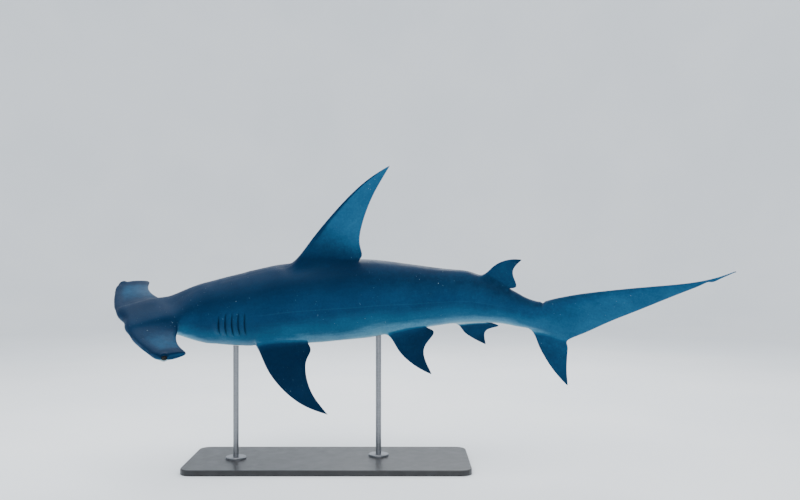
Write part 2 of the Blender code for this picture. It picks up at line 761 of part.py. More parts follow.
def stand_rod(name, station, tree):
    """A turned rod with a round foot, from the base up to the skin above it."""
    at = pose((station, 0, 0))
    foot = BASE_SIZE[2] + GAP
    lip = ROD_FOOT_HEIGHT / 4
    profile = (
        (ROD_FOOT_RADIUS, foot), (ROD_FOOT_RADIUS, foot + ROD_FOOT_HEIGHT - lip),
        (ROD_FOOT_RADIUS - lip, foot + ROD_FOOT_HEIGHT), (ROD_RADIUS, foot + ROD_FOOT_HEIGHT),
    )
    bm = bmesh.new()

    def ring(radius, height):
        spots = [
            (at.x + radius * cos(2 * pi * k / ROD_SIDES), at.y + radius * sin(2 * pi * k / ROD_SIDES))
            for k in range(ROD_SIDES)
        ]
        return [bm.verts.new((x, y, height(x, y))) for x, y in spots]

    def under_skin(x, y):
        place, _, _, _ = tree.ray_cast(Vector((x, y, foot)), Vector((0, 0, 1)))
        return place.z - 2 * GAP

    loops = [ring(radius, lambda x, y, h=height: h) for radius, height in profile]
    loops += [ring(ROD_RADIUS * share, under_skin) for share in (1, 2 / 3, 1 / 3)]
    for low, high in zip(loops, loops[1:]):
        for k in range(ROD_SIDES):
            m = (k + 1) % ROD_SIDES
            bm.faces.new((low[k], low[m], high[m], high[k]))
    bm.faces.new(loops[0])
    top = bm.verts.new((at.x, at.y, under_skin(at.x, at.y)))
    for k in range(ROD_SIDES):
        bm.faces.new((loops[-1][k], loops[-1][(k + 1) % ROD_SIDES], top))
    bmesh.ops.triangulate(bm, faces=bm.faces)
    bmesh.ops.recalc_face_normals(bm, faces=bm.faces)
    return link(name, bm)


def finish(item, colour, roughness, metallic=0.0):
    """Gives an object its own material, and smooth shading between its sharp edges."""
    material = bpy.data.materials.new(item.name)
    material.use_nodes = True
    shader = material.node_tree.nodes["Principled BSDF"]
    shader.inputs["Base Color"].default_value = (*colour, 1)
    shader.inputs["Roughness"].default_value = roughness
    shader.inputs["Metallic"].default_value = metallic
    item.data.materials.clear()
    item.data.materials.append(material)
    item.data.shade_smooth()
    item.data.set_sharp_from_angle(angle=radians(SHARP_ANGLE))


def main():
    clear_scene()
    cage, names, borders = build_cage()
    skin = round_skin(cage)
    tree = BVHTree.FromBMesh(skin)
    parts = {name: cut_part(skin, names, name, borders) for name in names}
    skin.free()

    eyes, lids, sockets, nostrils = [], [], [], []
    for suffix, side in (("_right", 1), ("_left", -1)):
        x, y, z = EYE_PLACE
        eyes.append(ball("eye" + suffix, (x, side * y, z), (EYE_RADIUS,) * 3, EYE_SEGMENTS, 12))
        socket = (EYE_RADIUS + GAP,) * 3
        sockets.append(ball("socket", (x, side * y, z), socket, EYE_SEGMENTS, 12))
        lids.append(lid_ring(side))
        x, y, z = NOSTRIL_PLACE
        nostrils.append(ball("nostril", (x, side * y, z), NOSTRIL_SIZE, 12, 8))
    lower_lip = mouth_tube("lower_lip", tree, LIP_SETBACK, LIP_RADIUS, LIP_RADIUS / 2, 1.0)
    upper_lip = mouth_tube("upper_lip", tree, -LIP_SETBACK, LIP_RADIUS * 0.8, LIP_RADIUS / 2, 1.0)
    line = mouth_tube("mouth_line", tree, 0.0, MOUTH_LINE, 0.001, 0.97)
    combine(parts["head"], [*lids, lower_lip, upper_lip], "UNION")
    combine(parts["head"], [*sockets, *nostrils, line], "DIFFERENCE")
    flaps = [
        gill_flap(tree, rear, half_angle, side)
        for rear, half_angle in zip(GILL_REARS, GILL_HALF_ANGLES) for side in (1, -1)
    ]
    combine(parts["gill_region"], flaps, "UNION")

    for name, part in parts.items():
        finish(part, PAIRED_FIN_COLOUR if "pectoral" in name or "pelvic" in name else SKIN_COLOUR, 0.5)
    for eye in eyes:
        finish(eye, EYE_COLOUR, 0.15)
    finish(stand_base(), BASE_COLOUR, 0.45)
    for name, station in RODS.items():
        finish(stand_rod(name, station, tree), ROD_COLOUR, 0.35, 1.0)


main()
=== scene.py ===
# %% [markdown]
# # A great hammerhead on its stand
#
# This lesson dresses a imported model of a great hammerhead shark, 3.2 metres long, as a museum would
# show it: banked in a gentle turn, held by two steel rods on a black base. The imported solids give
# the true size and outline, in parts with fine gaps. A real animal has no gaps, so here one skin is
# modelled over all the parts of flesh. It is shaped straight and upright first, because a left and a
# right side are easiest to match that way, and bent into its pose at the very end.

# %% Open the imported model
import json
from math import cos, pi, radians, sin, sqrt

import bmesh
import bpy
import numpy as np
from mathutils import Matrix, Vector

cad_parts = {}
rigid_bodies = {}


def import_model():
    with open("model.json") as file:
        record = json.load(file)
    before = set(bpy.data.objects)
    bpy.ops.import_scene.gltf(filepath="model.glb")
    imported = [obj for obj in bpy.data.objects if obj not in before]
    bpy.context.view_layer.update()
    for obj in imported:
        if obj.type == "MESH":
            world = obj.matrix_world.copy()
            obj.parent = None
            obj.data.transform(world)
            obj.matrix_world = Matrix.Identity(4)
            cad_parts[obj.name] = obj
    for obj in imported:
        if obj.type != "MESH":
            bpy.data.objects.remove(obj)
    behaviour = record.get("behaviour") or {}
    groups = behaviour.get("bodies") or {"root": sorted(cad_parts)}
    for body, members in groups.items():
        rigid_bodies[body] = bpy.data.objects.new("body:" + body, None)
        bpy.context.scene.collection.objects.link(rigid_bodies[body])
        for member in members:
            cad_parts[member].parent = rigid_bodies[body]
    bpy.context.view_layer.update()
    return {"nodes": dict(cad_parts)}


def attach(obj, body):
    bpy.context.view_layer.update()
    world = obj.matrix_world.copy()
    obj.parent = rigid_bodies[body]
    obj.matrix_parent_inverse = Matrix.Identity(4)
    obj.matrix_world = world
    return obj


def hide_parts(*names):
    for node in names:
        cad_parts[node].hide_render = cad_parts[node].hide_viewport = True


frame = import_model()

# %% [markdown]
# ## The camera
#
# The photograph looks at the shark's left side from its own height, a few metres away. A camera
# level with the shark's middle gives that view, and a longer lens than a phone's keeps the near and
# the far half of the hammer in proportion. It is set first, so that each piece can be judged while
# it grows.

# %% Set up the camera
CAMERA_PLACE = (0.38, -4.85, 1.15)
CAMERA_LENS = 40.5

bpy.ops.object.select_all(action="DESELECT")
bpy.ops.object.camera_add(location=CAMERA_PLACE, rotation=(radians(90), 0, 0))
camera = bpy.context.active_object
camera.name = "camera"
camera.data.lens = CAMERA_LENS
bpy.context.scene.camera = camera
print("camera at", CAMERA_PLACE, "with a lens of", CAMERA_LENS, "mm")

# %% [markdown]
# ## Reading a drawing
#
# A naturalist's drawing gives a shark's width and depth at a few stations between snout and tail.
# from_table reads such a table as a smooth curve, so few numbers are enough for the whole body.
# straight_table joins the rows by straight lines and reads many places at once, which does for
# small forms and paint. Every length is in metres: x runs aft from the middle of the hammer's front
# edge, y to the shark's right and z up from its spine.

# %% Read a curve out of a table
def from_table(table, x):
    """Smooth values at x through a table of rows: x, then the values or a tuple of them."""
    rows = [(row[0], row[1] if isinstance(row[1], tuple) else row[1:]) for row in table]
    if x <= rows[0][0]:
        return rows[0][1]
    if x >= rows[-1][0]:
        return rows[-1][1]
    k = max(i for i, row in enumerate(rows) if row[0] <= x)
    (x0, a), (x1, b) = rows[k], rows[k + 1]
    before, after = rows[max(k - 1, 0)], rows[min(k + 2, len(rows) - 1)]
    t, width = (x - x0) / (x1 - x0), x1 - x0
    values = []
    for n in range(len(a)):
        slope_a = (b[n] - before[1][n]) / (x1 - before[0])
        slope_b = (after[1][n] - a[n]) / (after[0] - x0)
        values.append(
            (2 * t**3 - 3 * t**2 + 1) * a[n] + (t**3 - 2 * t**2 + t) * width * slope_a
            + (3 * t**2 - 2 * t**3) * b[n] + (t**3 - t**2) * width * slope_b
        )
    return tuple(values)


def value_at(table, x):
    return from_table(table, x)[0]


def straight_table(table, places):
    """Values at many places through a table of pairs, with straight lines between its rows."""
    return np.interp(places, *np.array(table).T)


# %% [markdown]
# ## The outline of the body
#
# A great hammerhead is deepest just ahead of its tall dorsal fin and tapers to a slim tail stalk.
# Behind that the spine bends up into the tail's long upper lobe, so back and belly both climb there.
# The head is flat and square in section, the trunk nearly an ellipse, and the tail is thickest along
# its top, where the spine runs. One number, the squareness, turns an ellipse into a fuller form.

# %% Tables of the body
# Station, half width, height of the back above the spine and depth of the belly below it.
BODY = (
    (0.030, 0.125, 0.034, 0.030),
    (0.110, 0.126, 0.052, 0.042),
    (0.215, 0.128, 0.064, 0.062),
    (0.270, 0.126, 0.066, 0.090),
    (0.340, 0.126, 0.104, 0.142),
    (0.430, 0.138, 0.138, 0.188),
    (0.525, 0.158, 0.156, 0.212),
    (0.720, 0.182, 0.186, 0.244),
    (0.920, 0.194, 0.214, 0.250),
    (1.120, 0.194, 0.222, 0.240),
    (1.340, 0.176, 0.214, 0.222),
    (1.550, 0.150, 0.184, 0.188),
    (1.720, 0.126, 0.160, 0.154),
    (1.860, 0.104, 0.151, 0.136),
    (2.010, 0.080, 0.112, 0.112),
    (2.110, 0.062, 0.080, 0.102),
    (2.205, 0.050, 0.060, 0.098),
    (2.255, 0.043, 0.077, 0.094),
    (2.305, 0.034, 0.106, 0.094),
    (2.420, 0.023, 0.166, 0.096),
    (2.560, 0.016, 0.228, -0.030),
    (2.700, 0.013, 0.286, -0.146),
    (2.840, 0.010, 0.341, -0.262),
    (2.970, 0.007, 0.396, -0.366),
    (3.065, 0.005, 0.450, -0.436),
    (3.120, 0.003, 0.490, -0.484),
)
SQUARENESS = ((0.030, 3.4), (0.215, 3.2), (0.340, 2.4), (0.530, 2.1), (2.200, 2.0))
TAIL_START = 2.15
TAIL_BLEND = 0.30
TAIL_KEEL = 0.4
TAIL_TIP = 0.006


def section(x, angle):
    """Point of the body's outline in the section at x, at an angle from the back to the right."""
    width, back, belly = from_table(BODY, x)
    power = 2 / value_at(SQUARENESS, x)
    side, height = sin(angle), cos(angle)
    if x > TAIL_START:
        fullness = 1 + TAIL_KEEL * height * min(1.0, (x - TAIL_START) / TAIL_BLEND)
        return width * fullness * side, (back - belly) / 2 + (back + belly) / 2 * height
    y = width * abs(side) ** power * (1 if side >= 0 else -1)
    z = (back if height >= 0 else belly) * abs(height) ** power * (1 if height >= 0 else -1)
    return y, z


print("the trunk is widest at", max(BODY, key=lambda row: row[1])[0], "m from the snout")

# %% [markdown]
# ## The rings of the body
#
# A cage of few quads is easiest to shape, and Subdivision Surface rounds it later. Its rings of
# sixteen corners stand where something changes: at each end of a fin's root, at the neck, and
# before the tail. The corners slide round the ring too, so that two columns of faces narrow to a
# band where a fin is going to grow.

# %% Stations and columns of the cage
COLUMNS = 16
HALF = COLUMNS // 2
BROW_SETBACK = 0.022
STATIONS = (
    0.030, 0.065, 0.110, 0.160, 0.215, 0.270, 0.340, 0.430,
    0.525, 0.595, 0.655, 0.690, 0.765, 0.840, 0.915, 0.970,
    1.040, 1.115, 1.190, 1.265, 1.340, 1.420, 1.485, 1.550,
    1.620, 1.720, 1.800, 1.860, 1.920, 1.965, 2.010, 2.055,
    2.110, 2.160, 2.228, 2.268, 2.310, 2.360, 2.420, 2.500,
    2.600, 2.710, 2.820, 2.910, 2.990, 3.065, 3.120,
)
# Angle of each column round a ring, in degrees from the back to the belly.
COLUMN_ANGLES = (
    (0.030, (0, 13, 36, 62, 90, 121, 146, 167, 180)),
    (0.160, (0, 14, 40, 67, 91, 127, 147, 166, 180)),
    (0.270, (0, 14, 42, 70, 92, 121, 143, 166, 180)),
    (0.340, (0, 14, 42, 70, 92, 115, 140, 166, 180)),
    (0.690, (0, 10, 38, 72, 104, 129, 137, 145, 180)),
    (0.765, (0, 10, 38, 72, 104, 125, 137, 149, 180)),
    (0.915, (0, 10, 38, 72, 104, 126, 137, 148, 180)),
    (0.970, (0, 10, 38, 72, 104, 130, 137, 144, 180)),
    (1.420, (0, 12, 38, 68, 98, 135, 142, 149, 180)),
    (1.485, (0, 12, 38, 68, 98, 132, 142, 152, 180)),
    (1.550, (0, 12, 38, 68, 98, 132, 142, 152, 180)),
    (1.620, (0, 12, 38, 68, 98, 136, 142, 148, 180)),
    (1.800, (0, 12, 40, 66, 90, 114, 140, 167, 180)),
)
# Front and rear edge of each half of the hammer, as station at a distance from the midline.
HAMMER_FRONT = ((0.000, 0.012), (0.055, 0.000), (0.125, 0.004), (0.200, 0.019), (0.265, 0.037),
                (0.310, 0.055), (0.345, 0.066), (0.374, 0.097))
HAMMER_REAR = ((0.126, 0.270), (0.165, 0.250), (0.210, 0.228), (0.260, 0.216), (0.315, 0.217),
               (0.352, 0.230), (0.374, 0.232))


def ring_point(ring, column):
    """Corner of the cage on a ring. Ring 0 follows the hammer's front edge."""
    x = STATIONS[ring]
    turn = column if column <= HALF else COLUMNS - column
    y, z = section(x, radians(from_table(COLUMN_ANGLES, x)[turn]))
    if column > HALF:
        y = -y
    if ring == 0:
        x = value_at(HAMMER_FRONT, abs(y)) + (0 if turn == HALF // 2 else BROW_SETBACK)
    return Vector((x, y, z))


print("rings:", len(STATIONS), "corners on each:", COLUMNS)

# %% [markdown]
# ## Extrude the body, ring by ring
#
# This is how a modeller draws a body by hand: add a circle, put its points on the outline of the
# first section, then extrude the open ring again and again, and shape each new ring on the drawing.
# Every corner carries the number of its ring and column as its spot, which an extrusion copies, so a
# new ring knows its place. Its height says how far out on a fin it is, and its tip which fin's apex.

# %% From a circle to a body
def pick(mesh, corners):
    """Selects these corners alone, with the edges and faces between them."""
    for kind in (mesh.faces, mesh.edges, mesh.verts):
        for item in kind:
            item.select = False
    for corner in corners:
        corner.select = True
    mesh.select_flush(True)


def numbers(mesh, *names):
    """The layers that keep whole numbers for the corners of a mesh."""
    return [mesh.verts.layers.int[name] for name in names]


def extrude():
    """Extrudes what is selected, and gives the cage with its new corners."""
    bpy.ops.mesh.extrude_region_move()
    mesh = bmesh.from_edit_mesh(skin.data)
    return mesh, [corner for corner in mesh.verts if corner.select]


bpy.ops.object.select_all(action="DESELECT")
bpy.ops.mesh.primitive_circle_add(vertices=COLUMNS, radius=BODY[0][1], location=(STATIONS[0], 0, 0))
bpy.ops.object.transform_apply()
skin = bpy.context.active_object
skin.name = "shark_skin"
bpy.ops.object.mode_set(mode="EDIT")
cage = bmesh.from_edit_mesh(skin.data)
for layer in ("spot", "height", "tip"):
    cage.verts.layers.int.new(layer)
cage.verts.layers.deform.verify()
(spot,) = numbers(cage, "spot")
cage.verts.ensure_lookup_table()
for column in range(COLUMNS):
    cage.verts[column][spot] = column
    cage.verts[column].co = ring_point(0, column)
pick(cage, cage.verts)
for ring in range(1, len(STATIONS)):
    cage, corners = extrude()
    (spot,) = numbers(cage, "spot")
    for corner in corners:
        corner[spot] += COLUMNS
        corner.co = ring_point(ring, corner[spot] % COLUMNS)
print("faces round the body:", len(cage.faces))

# %% [markdown]
# ## Close the snout and the tail
#
# Both ends of the tube are still open. Grid Fill closes a ring with a grid of quads, which rounds
# far better than one many-sided face. Its middle row becomes a ridge: at the snout it lies along
# the hammer's front edge, and at the tip of the tail it stands upright.

# %% Fill both ends with a grid
def close_end(ring, column, place):
    """Fills an end ring with quads, with a ridge from its corner at column to the one across."""
    mesh = bmesh.from_edit_mesh(skin.data)
    spot, height = numbers(mesh, "spot", "height")
    at = {v[spot]: v for v in mesh.verts if v[spot] // COLUMNS == ring and v[height] == 0}
    loop = [at[ring * COLUMNS + (column + k) % COLUMNS] for k in range(COLUMNS)]
    pick(mesh, loop)
    mesh.select_history.clear()
    mesh.select_history.add(loop[1])
    bpy.ops.mesh.fill_grid(span=HALF - 2)
    mesh = bmesh.from_edit_mesh(skin.data)
    spot, height = numbers(mesh, "spot", "height")
    ring_set, ridge = set(loop), []
    for k in range(2, HALF - 1):
        near, far = ({e.other_vert(loop[j]) for e in loop[j].link_edges} for j in (k, -k))
        corner = ((near & far) - ring_set).pop()
        corner[height] = -1
        corner.co = place((loop[k].co + loop[-k].co) / 2)
        ridge.append(corner)
    return mesh, loop, ridge


close_end(0, HALF // 2, lambda p: Vector((value_at(HAMMER_FRONT, abs(p.y)), p.y, p.z / 2)))
cage, loop, ridge = close_end(len(STATIONS) - 1, 0, lambda p: p + Vector((TAIL_TIP, 0, 0)))
(tip,) = numbers(cage, "tip")
for corner in loop + ridge:
    corner[tip] = 1
print("faces with both ends closed:", len(cage.faces))

# %% [markdown]
# ## The drawing of the fins
#
# Each fin's outline is two curves from its root to its apex: the leading edge, which sweeps back,
# and the trailing edge, which starts at the free rear tip. A curve of four control points draws
# each, as a bent batten would on paper. The first dorsal fin is the mark of this species: as tall
# as the trunk is deep, narrow and curved like a sickle.

# %% Tables of the fins
# front and back name the rings of the root. apex and rear_tip are (station, span), and the edges
# are curves pulled towards their bow points.
FINS = {
    "first_dorsal_fin": dict(
        front=0.915, back=1.265, column=0, thickness=0.036, layers=6,
        rear_tip=(1.298, 0.018), apex=(1.448, 0.506),
        lead_bow=((1.062, 0.172), (1.256, 0.448)), trail_bow=((1.244, 0.096), (1.302, 0.290)),
    ),
    "second_dorsal_fin": dict(
        front=1.920, back=2.055, column=0, thickness=0.020, layers=4,
        rear_tip=(2.130, 0.010), apex=(2.088, 0.176),
        lead_bow=((1.960, 0.072), (2.015, 0.158)), trail_bow=((2.045, 0.050), (2.056, 0.120)),
    ),
    "anal_fin": dict(
        front=1.800, back=1.965, column=8, thickness=0.016, layers=4,
        rear_tip=(2.090, 0.013), apex=(1.985, 0.128),
        lead_bow=((1.832, 0.055), (1.900, 0.108)), trail_bow=((1.990, 0.020), (1.950, 0.055)),
    ),
    "caudal_fin_lower_lobe": dict(
        front=2.228, back=2.420, column=8, thickness=0.022, layers=5,
        rear_tip=(2.430, 0.020), apex=(2.478, 0.242),
        lead_bow=((2.286, 0.078), (2.366, 0.194)), trail_bow=((2.435, 0.060), (2.452, 0.150)),
    ),
    "pectoral_fin": dict(
        front=0.690, back=0.970, column=6, thickness=0.034, layers=6,
        rear_tip=(1.000, 0.035), apex=(1.062, 0.390),
        lead_bow=((0.722, 0.175), (0.850, 0.352)), trail_bow=((0.930, 0.100), (0.930, 0.250)),
    ),
    "pelvic_fin": dict(
        front=1.420, back=1.620, column=6, thickness=0.020, layers=4,
        rear_tip=(1.730, 0.016), apex=(1.660, 0.255),
        lead_bow=((1.462, 0.095), (1.555, 0.218)), trail_bow=((1.600, 0.060), (1.600, 0.150)),
    ),
}
# How far each paired fin points below level, in degrees.
DROOP = {"pectoral_fin_left": 45, "pectoral_fin_right": 24, "pelvic_fin_left": 52,
         "pelvic_fin_right": 38}
# The leading edge starts this far behind the root's front, and out from it.
FIN_FOOT = (0.010, 0.018)
# The free rear tip takes this share of the span, and the corners keep this far from both edges.
REAR_TIP_SHARE = 0.16
FIN_NOSE = 0.045
LAYER_CROWDING = 0.92
TIP_CHORD = 0.010
FIN_TAPER = 0.72
FIN_EDGE = 0.0012


def bezier(points, t):
    """Point on the curve of four control points."""
    a, b, c, d = (Vector(p) for p in points)
    return a * (1 - t) ** 3 + b * 3 * t * (1 - t) ** 2 + c * 3 * t * t * (1 - t) + d * t**3


def fin_profile(chord):
    """Half thickness of a fin section, 1 at its fullest, from front edge 0 to rear edge 1."""
    return 1.87 * sqrt(max(chord, 0)) * (1 - chord) ** 1.1 + 0.07 * chord


def fin_edges(fin, share):
    """Front and rear edge of a fin at a share of its span, as (station, span)."""
    foot = (fin["front"] + FIN_FOOT[0], FIN_FOOT[1])
    lead = bezier((foot, *fin["lead_bow"], fin["apex"]), share)
    rise = max(0.0, (share - REAR_TIP_SHARE) / (1 - REAR_TIP_SHARE))
    return lead, bezier((fin["rear_tip"], *fin["trail_bow"], fin["apex"]), rise)


def fin_point(fin, root, layer, chord, side):
    """Corner of a fin. root gives the points at both ends of its base, its outward axis and normal."""
    base_front, base_back, out, normal = root
    share = (layer / fin["layers"]) ** LAYER_CROWDING
    lead, trail = fin_edges(fin, share)
    if layer == fin["layers"]:
        lead -= Vector((TIP_CHORD, TIP_CHORD * 0.4))
        trail += Vector((TIP_CHORD * 0.2, 0))
    at = lead.lerp(trail, chord)
    along = (at.x - fin["front"]) / (fin["back"] - fin["front"])
    half = fin["thickness"] / 2 * (1 - FIN_TAPER * share) * fin_profile(chord) + FIN_EDGE
    place = base_front.lerp(base_back, along) + out * at.y + normal * (half * side)
    return Vector((at.x, place.x, place.y))


def fin_root(fin, column, droop):
    """Base points of a fin's root, its outward axis and its normal, in the section's (y, z)."""
    mirror = -1 if column > HALF else 1
    rings = [STATIONS.index(fin[key]) for key in ("front", "back")]
    ends = [Vector(ring_point(ring, column).yz) for ring in rings]
    if column in (0, HALF):
        up = 1 if column == 0 else -1
        return ends[0], ends[1], Vector((0, up)), Vector((up, 0))
    out = Vector((mirror * cos(radians(droop)), -sin(radians(droop))))
    return ends[0], ends[1], out, Vector((out.y, -out.x))


# %% [markdown]
# ## The drawing of the hammer
#
# The hammer is a wing across the front of the head: thin, with a scalloped front edge that has a
# notch in the middle, and with an eye in each end. Its halves are drawn by their front and rear
# edge, and by their thickness and the height of their middle, at each distance from the midline.

# %% Tables of the hammer
WING_BACK = 0.270
HAMMER_SPANS = (0.160, 0.205, 0.250, 0.292, 0.330, 0.358, 0.375)
HAMMER_THICK = ((0.126, 0.058), (0.205, 0.048), (0.300, 0.044), (0.350, 0.044), (0.375, 0.034))
HAMMER_MID = ((0.126, -0.004), (0.300, -0.006), (0.375, -0.004))
WING_TAPER = 0.45


def hammer_point(layer, chord, side, mirror):
    """Corner of one half of the hammer, which is a wing whose sections run front to back."""
    span = HAMMER_SPANS[layer - 1]
    front, rear = value_at(HAMMER_FRONT, span), value_at(HAMMER_REAR, span)
    thick, mid = value_at(HAMMER_THICK, span), value_at(HAMMER_MID, span)
    x = front + (rear - front) * chord
    z = mid + side * thick / 2 * (1 - WING_TAPER * abs(2 * chord - 0.8) ** 2.2)
    return Vector((x, span * mirror, z))


# %% [markdown]
# ## Grow the hammer and the fins
#
# A fin grows out of the body as it would under a modeller's hands: pick the narrow band of faces
# at its root, extrude, put the new corners on the drawing, and extrude again up to the apex.
# Because the fin is pulled out of the body's own faces, its root flows into the flank with no
# seam. A vertex group of each fin keeps how far up the fin a corner lies, and one group for all of
# them how far back, for the colours later.

# %% Extrude the bands of faces
CHORD_GROUP = "from_front_to_rear"
skin.vertex_groups.new(name=CHORD_GROUP)


def grow(name, first, last, column, layers, place):
    """Grows a fin from the two rows of faces beside a column, from ring first to ring last."""
    mesh = bmesh.from_edit_mesh(skin.data)
    spot, height = numbers(mesh, "spot", "height")
    columns = {(column + s) % COLUMNS: s for s in (-1, 0, 1)}
    pick(mesh, [
        v for v in mesh.verts if v[height] == 0
        and first <= v[spot] // COLUMNS <= last and v[spot] % COLUMNS in columns
    ])
    group = skin.vertex_groups.new(name=name).index
    chord = skin.vertex_groups[CHORD_GROUP].index
    for layer in range(1, layers + 1):
        mesh, corners = extrude()
        spot, height, tip = numbers(mesh, "spot", "height", "tip")
        weights = mesh.verts.layers.deform.verify()
        for corner in corners:
            ring, side = corner[spot] // COLUMNS, columns[corner[spot] % COLUMNS]
            part_way = (ring - first) / (last - first)
            if side or ring not in (first, last):
                part_way = FIN_NOSE + (1 - 2 * FIN_NOSE) * part_way
            corner.co = place(layer, part_way, side)
            corner[height] = layer
            corner[weights][group] = layer / layers
            if "hammer" not in name:
                corner[weights][chord] = part_way
            if layer == layers and "hammer" not in name:
                corner[tip] = group + 2


for column, mirror, name in ((HALF // 2, 1, "hammer_right"), (COLUMNS - HALF // 2, -1, "hammer_left")):
    grow(
        name, 0, STATIONS.index(WING_BACK), column, len(HAMMER_SPANS),
        lambda layer, chord, side, m=mirror: hammer_point(layer, chord, -side * m, m),
    )
for name, fin in FINS.items():
    ends = [STATIONS.index(fin[key]) for key in ("front", "back")]
    grown = [(name, fin["column"], 0)]
    if fin["column"] not in (0, HALF):
        columns = {"_right": fin["column"], "_left": COLUMNS - fin["column"]}
        grown = [(name + side, column, DROOP[name + side]) for side, column in columns.items()]
    for full_name, column, droop in grown:
        root = fin_root(fin, column, droop)
        grow(
            full_name, *ends, column, fin["layers"],
            lambda layer, chord, side, f=fin, r=root: fin_point(f, r, layer, chord, side),
        )
cage = bmesh.from_edit_mesh(skin.data)
print("faces of the whole cage:", len(cage.faces), "all quads:", all(len(f.verts) == 4 for f in cage.faces))

# %% [markdown]
# ## Push the cage out, then round it
#
# Subdivision Surface smooths a cage by averaging, which pulls every corner inwards, and a thin fin
# would lose most. The place where a corner ends up is known in advance: a weighted mean of itself
# and its neighbours. So each corner is moved out by what it is going to lose, twice over, and the
# rounded skin passes through the points of the drawing.

# %% Make up for the rounding
def rounded_place(corner):
    """Where Subdivision Surface leaves a corner of an all-quad cage."""
    n = len(corner.link_edges)
    edges = sum((e.other_vert(corner).co for e in corner.link_edges), Vector())
    across = Vector()
    for face in corner.link_faces:
        around = list(face.verts)
        across += around[(around.index(corner) + 2) % 4].co
    return (corner.co * n * n + edges * 4 + across) / (n * (n + 5))


def face_outwards():
    """Turns all faces of the skin outwards and leaves Edit Mode."""
    mesh = bmesh.from_edit_mesh(skin.data)
    pick(mesh, mesh.verts)
    bpy.ops.mesh.normals_make_consistent(inside=False)
    bpy.ops.object.mode_set(mode="OBJECT")


(tip,) = numbers(cage, "tip")
drawn = {corner: corner.co.copy() for corner in cage.verts}
tips = {}
for corner in cage.verts:
    if corner[tip]:
        tips.setdefault(corner[tip], []).append(corner)
for _ in range(2):
    moves = {corner: drawn[corner] - rounded_place(corner) for corner in cage.verts}
    for together in tips.values():
        shared = sum((moves[corner] for corner in together), Vector()) / len(together)
        moves.update((corner, shared) for corner in together)
    for corner, move in moves.items():
        corner.co += move
face_outwards()
print("corners:", len(skin.data.vertices), "tips that move as one:", len(tips))

# %% [markdown]
# ## Round the skin
#
# Two levels of Subdivision Surface turn each quad of the cage into sixteen. That is fine enough
# for the long, smooth forms of trunk and fins: their facets are shorter than a finger's width, and
# smooth shading hides them. The head and the gills need more points. So a finer copy is kept as a
# mould: where faces of the skin are split in the next two passes, Shrinkwrap sets the new points on
# the mould's own, and the skin stays exactly as smooth as if all of it had been rounded that finely.
# The last and finest pass, at the mouth and the nostrils, is not set on the mould.

# %% Apply the rounding to the skin and to its mould
SKIN_LEVELS = 2
MOULD_LEVELS = 4


def alone(item):
    """Selects one object and makes it the active one."""
    bpy.ops.object.select_all(action="DESELECT")
    item.select_set(True)
    bpy.context.view_layer.objects.active = item


def apply_modifier(item, kind, **settings):
    """Adds a modifier with these settings and applies it."""
    alone(item)
    bpy.ops.object.modifier_add(type=kind)
    modifier = item.modifiers[-1]
    for name, value in settings.items():
        setattr(modifier, name, value)
    bpy.ops.object.modifier_apply(modifier=modifier.name)


alone(skin)
bpy.ops.object.duplicate()
mould = bpy.context.active_object
apply_modifier(mould, "SUBSURF", levels=MOULD_LEVELS, render_levels=MOULD_LEVELS)
apply_modifier(skin, "SUBSURF", levels=SKIN_LEVELS, render_levels=SKIN_LEVELS)
print("faces of the skin:", len(skin.data.polygons), "of the mould:", len(mould.data.polygons))

# %% [markdown]
# ## More points for the head
#
# A refined patch is picked by place: a test says which faces lie in it, and Subdivide splits them.
# The whole head, the hammer and the gills get one more level. The mouth, the nostrils, the gill
# slits and the pit before the tail get one or two more, because they are a few millimetres wide.

# %% Split faces where the forms are small
HEAD_END = 0.690
GILL_START = 0.445
GILL_END = 0.660
GILL_MIDDLE = 98
GILL_SPREAD = 32
MOUTH_FRONT = 0.180
MOUTH_LENGTH = 0.085
MOUTH_HALF_WIDTH = 0.104
MOUTH_HEIGHT = -0.030
NOSTRIL_SPAN = 0.300
NOSTRIL_INSET = 0.03
NOSTRIL_REACH = 0.05
PIT_PLACE = 2.247
PIT_REACH = 0.035
LOBE_START = 2.94


def around_degrees(places):
    """Angle of places round the spine, from 0 at the back to 180 at the belly, on either side."""
    return np.degrees(np.arctan2(np.abs(places[:, 1]), places[:, 2]))


def mouth_arch(steps=240):
    """Points along the line of the mouth, with the share of the way from the middle to a corner."""
    share = np.linspace(-1, 1, steps + 1)
    x = MOUTH_FRONT + MOUTH_LENGTH * np.abs(share) ** 2.2
    return np.column_stack((x, MOUTH_HALF_WIDTH * np.sin(share * pi / 2))), share


def from_mouth(places):
    """Signed distance from the line of the mouth, behind it above 0, and the share of the way along."""
    arch, share = mouth_arch()
    gaps = places[:, None, :2] - arch[None, :, :]
    nearest = np.argmin(np.sum(gaps**2, axis=2), axis=1)
    gap = gaps[np.arange(len(places)), nearest]
    along = np.gradient(arch, axis=0)[nearest]
    side = np.sign(along[:, 1] * gap[:, 0] - along[:, 0] * gap[:, 1])
    return side * np.linalg.norm(gap, axis=1), share[nearest]


def on_head(places):
    return places[:, 0] < HEAD_END


def on_gills(places):
    beside = np.abs(around_degrees(places) - GILL_MIDDLE) < GILL_SPREAD
    return (GILL_START < places[:, 0]) & (places[:, 0] < GILL_END) & beside


def on_mouth(places, margin):
    """Whether places are nearer than a margin to the line of the mouth."""
    near = (
        (places[:, 2] < MOUTH_HEIGHT) & (places[:, 0] > MOUTH_FRONT - margin)
        & (places[:, 0] < MOUTH_FRONT + MOUTH_LENGTH + margin)
        & (np.abs(places[:, 1]) < MOUTH_HALF_WIDTH + margin)
    )
    near[near] = np.abs(from_mouth(places[near])[0]) < margin
    return near


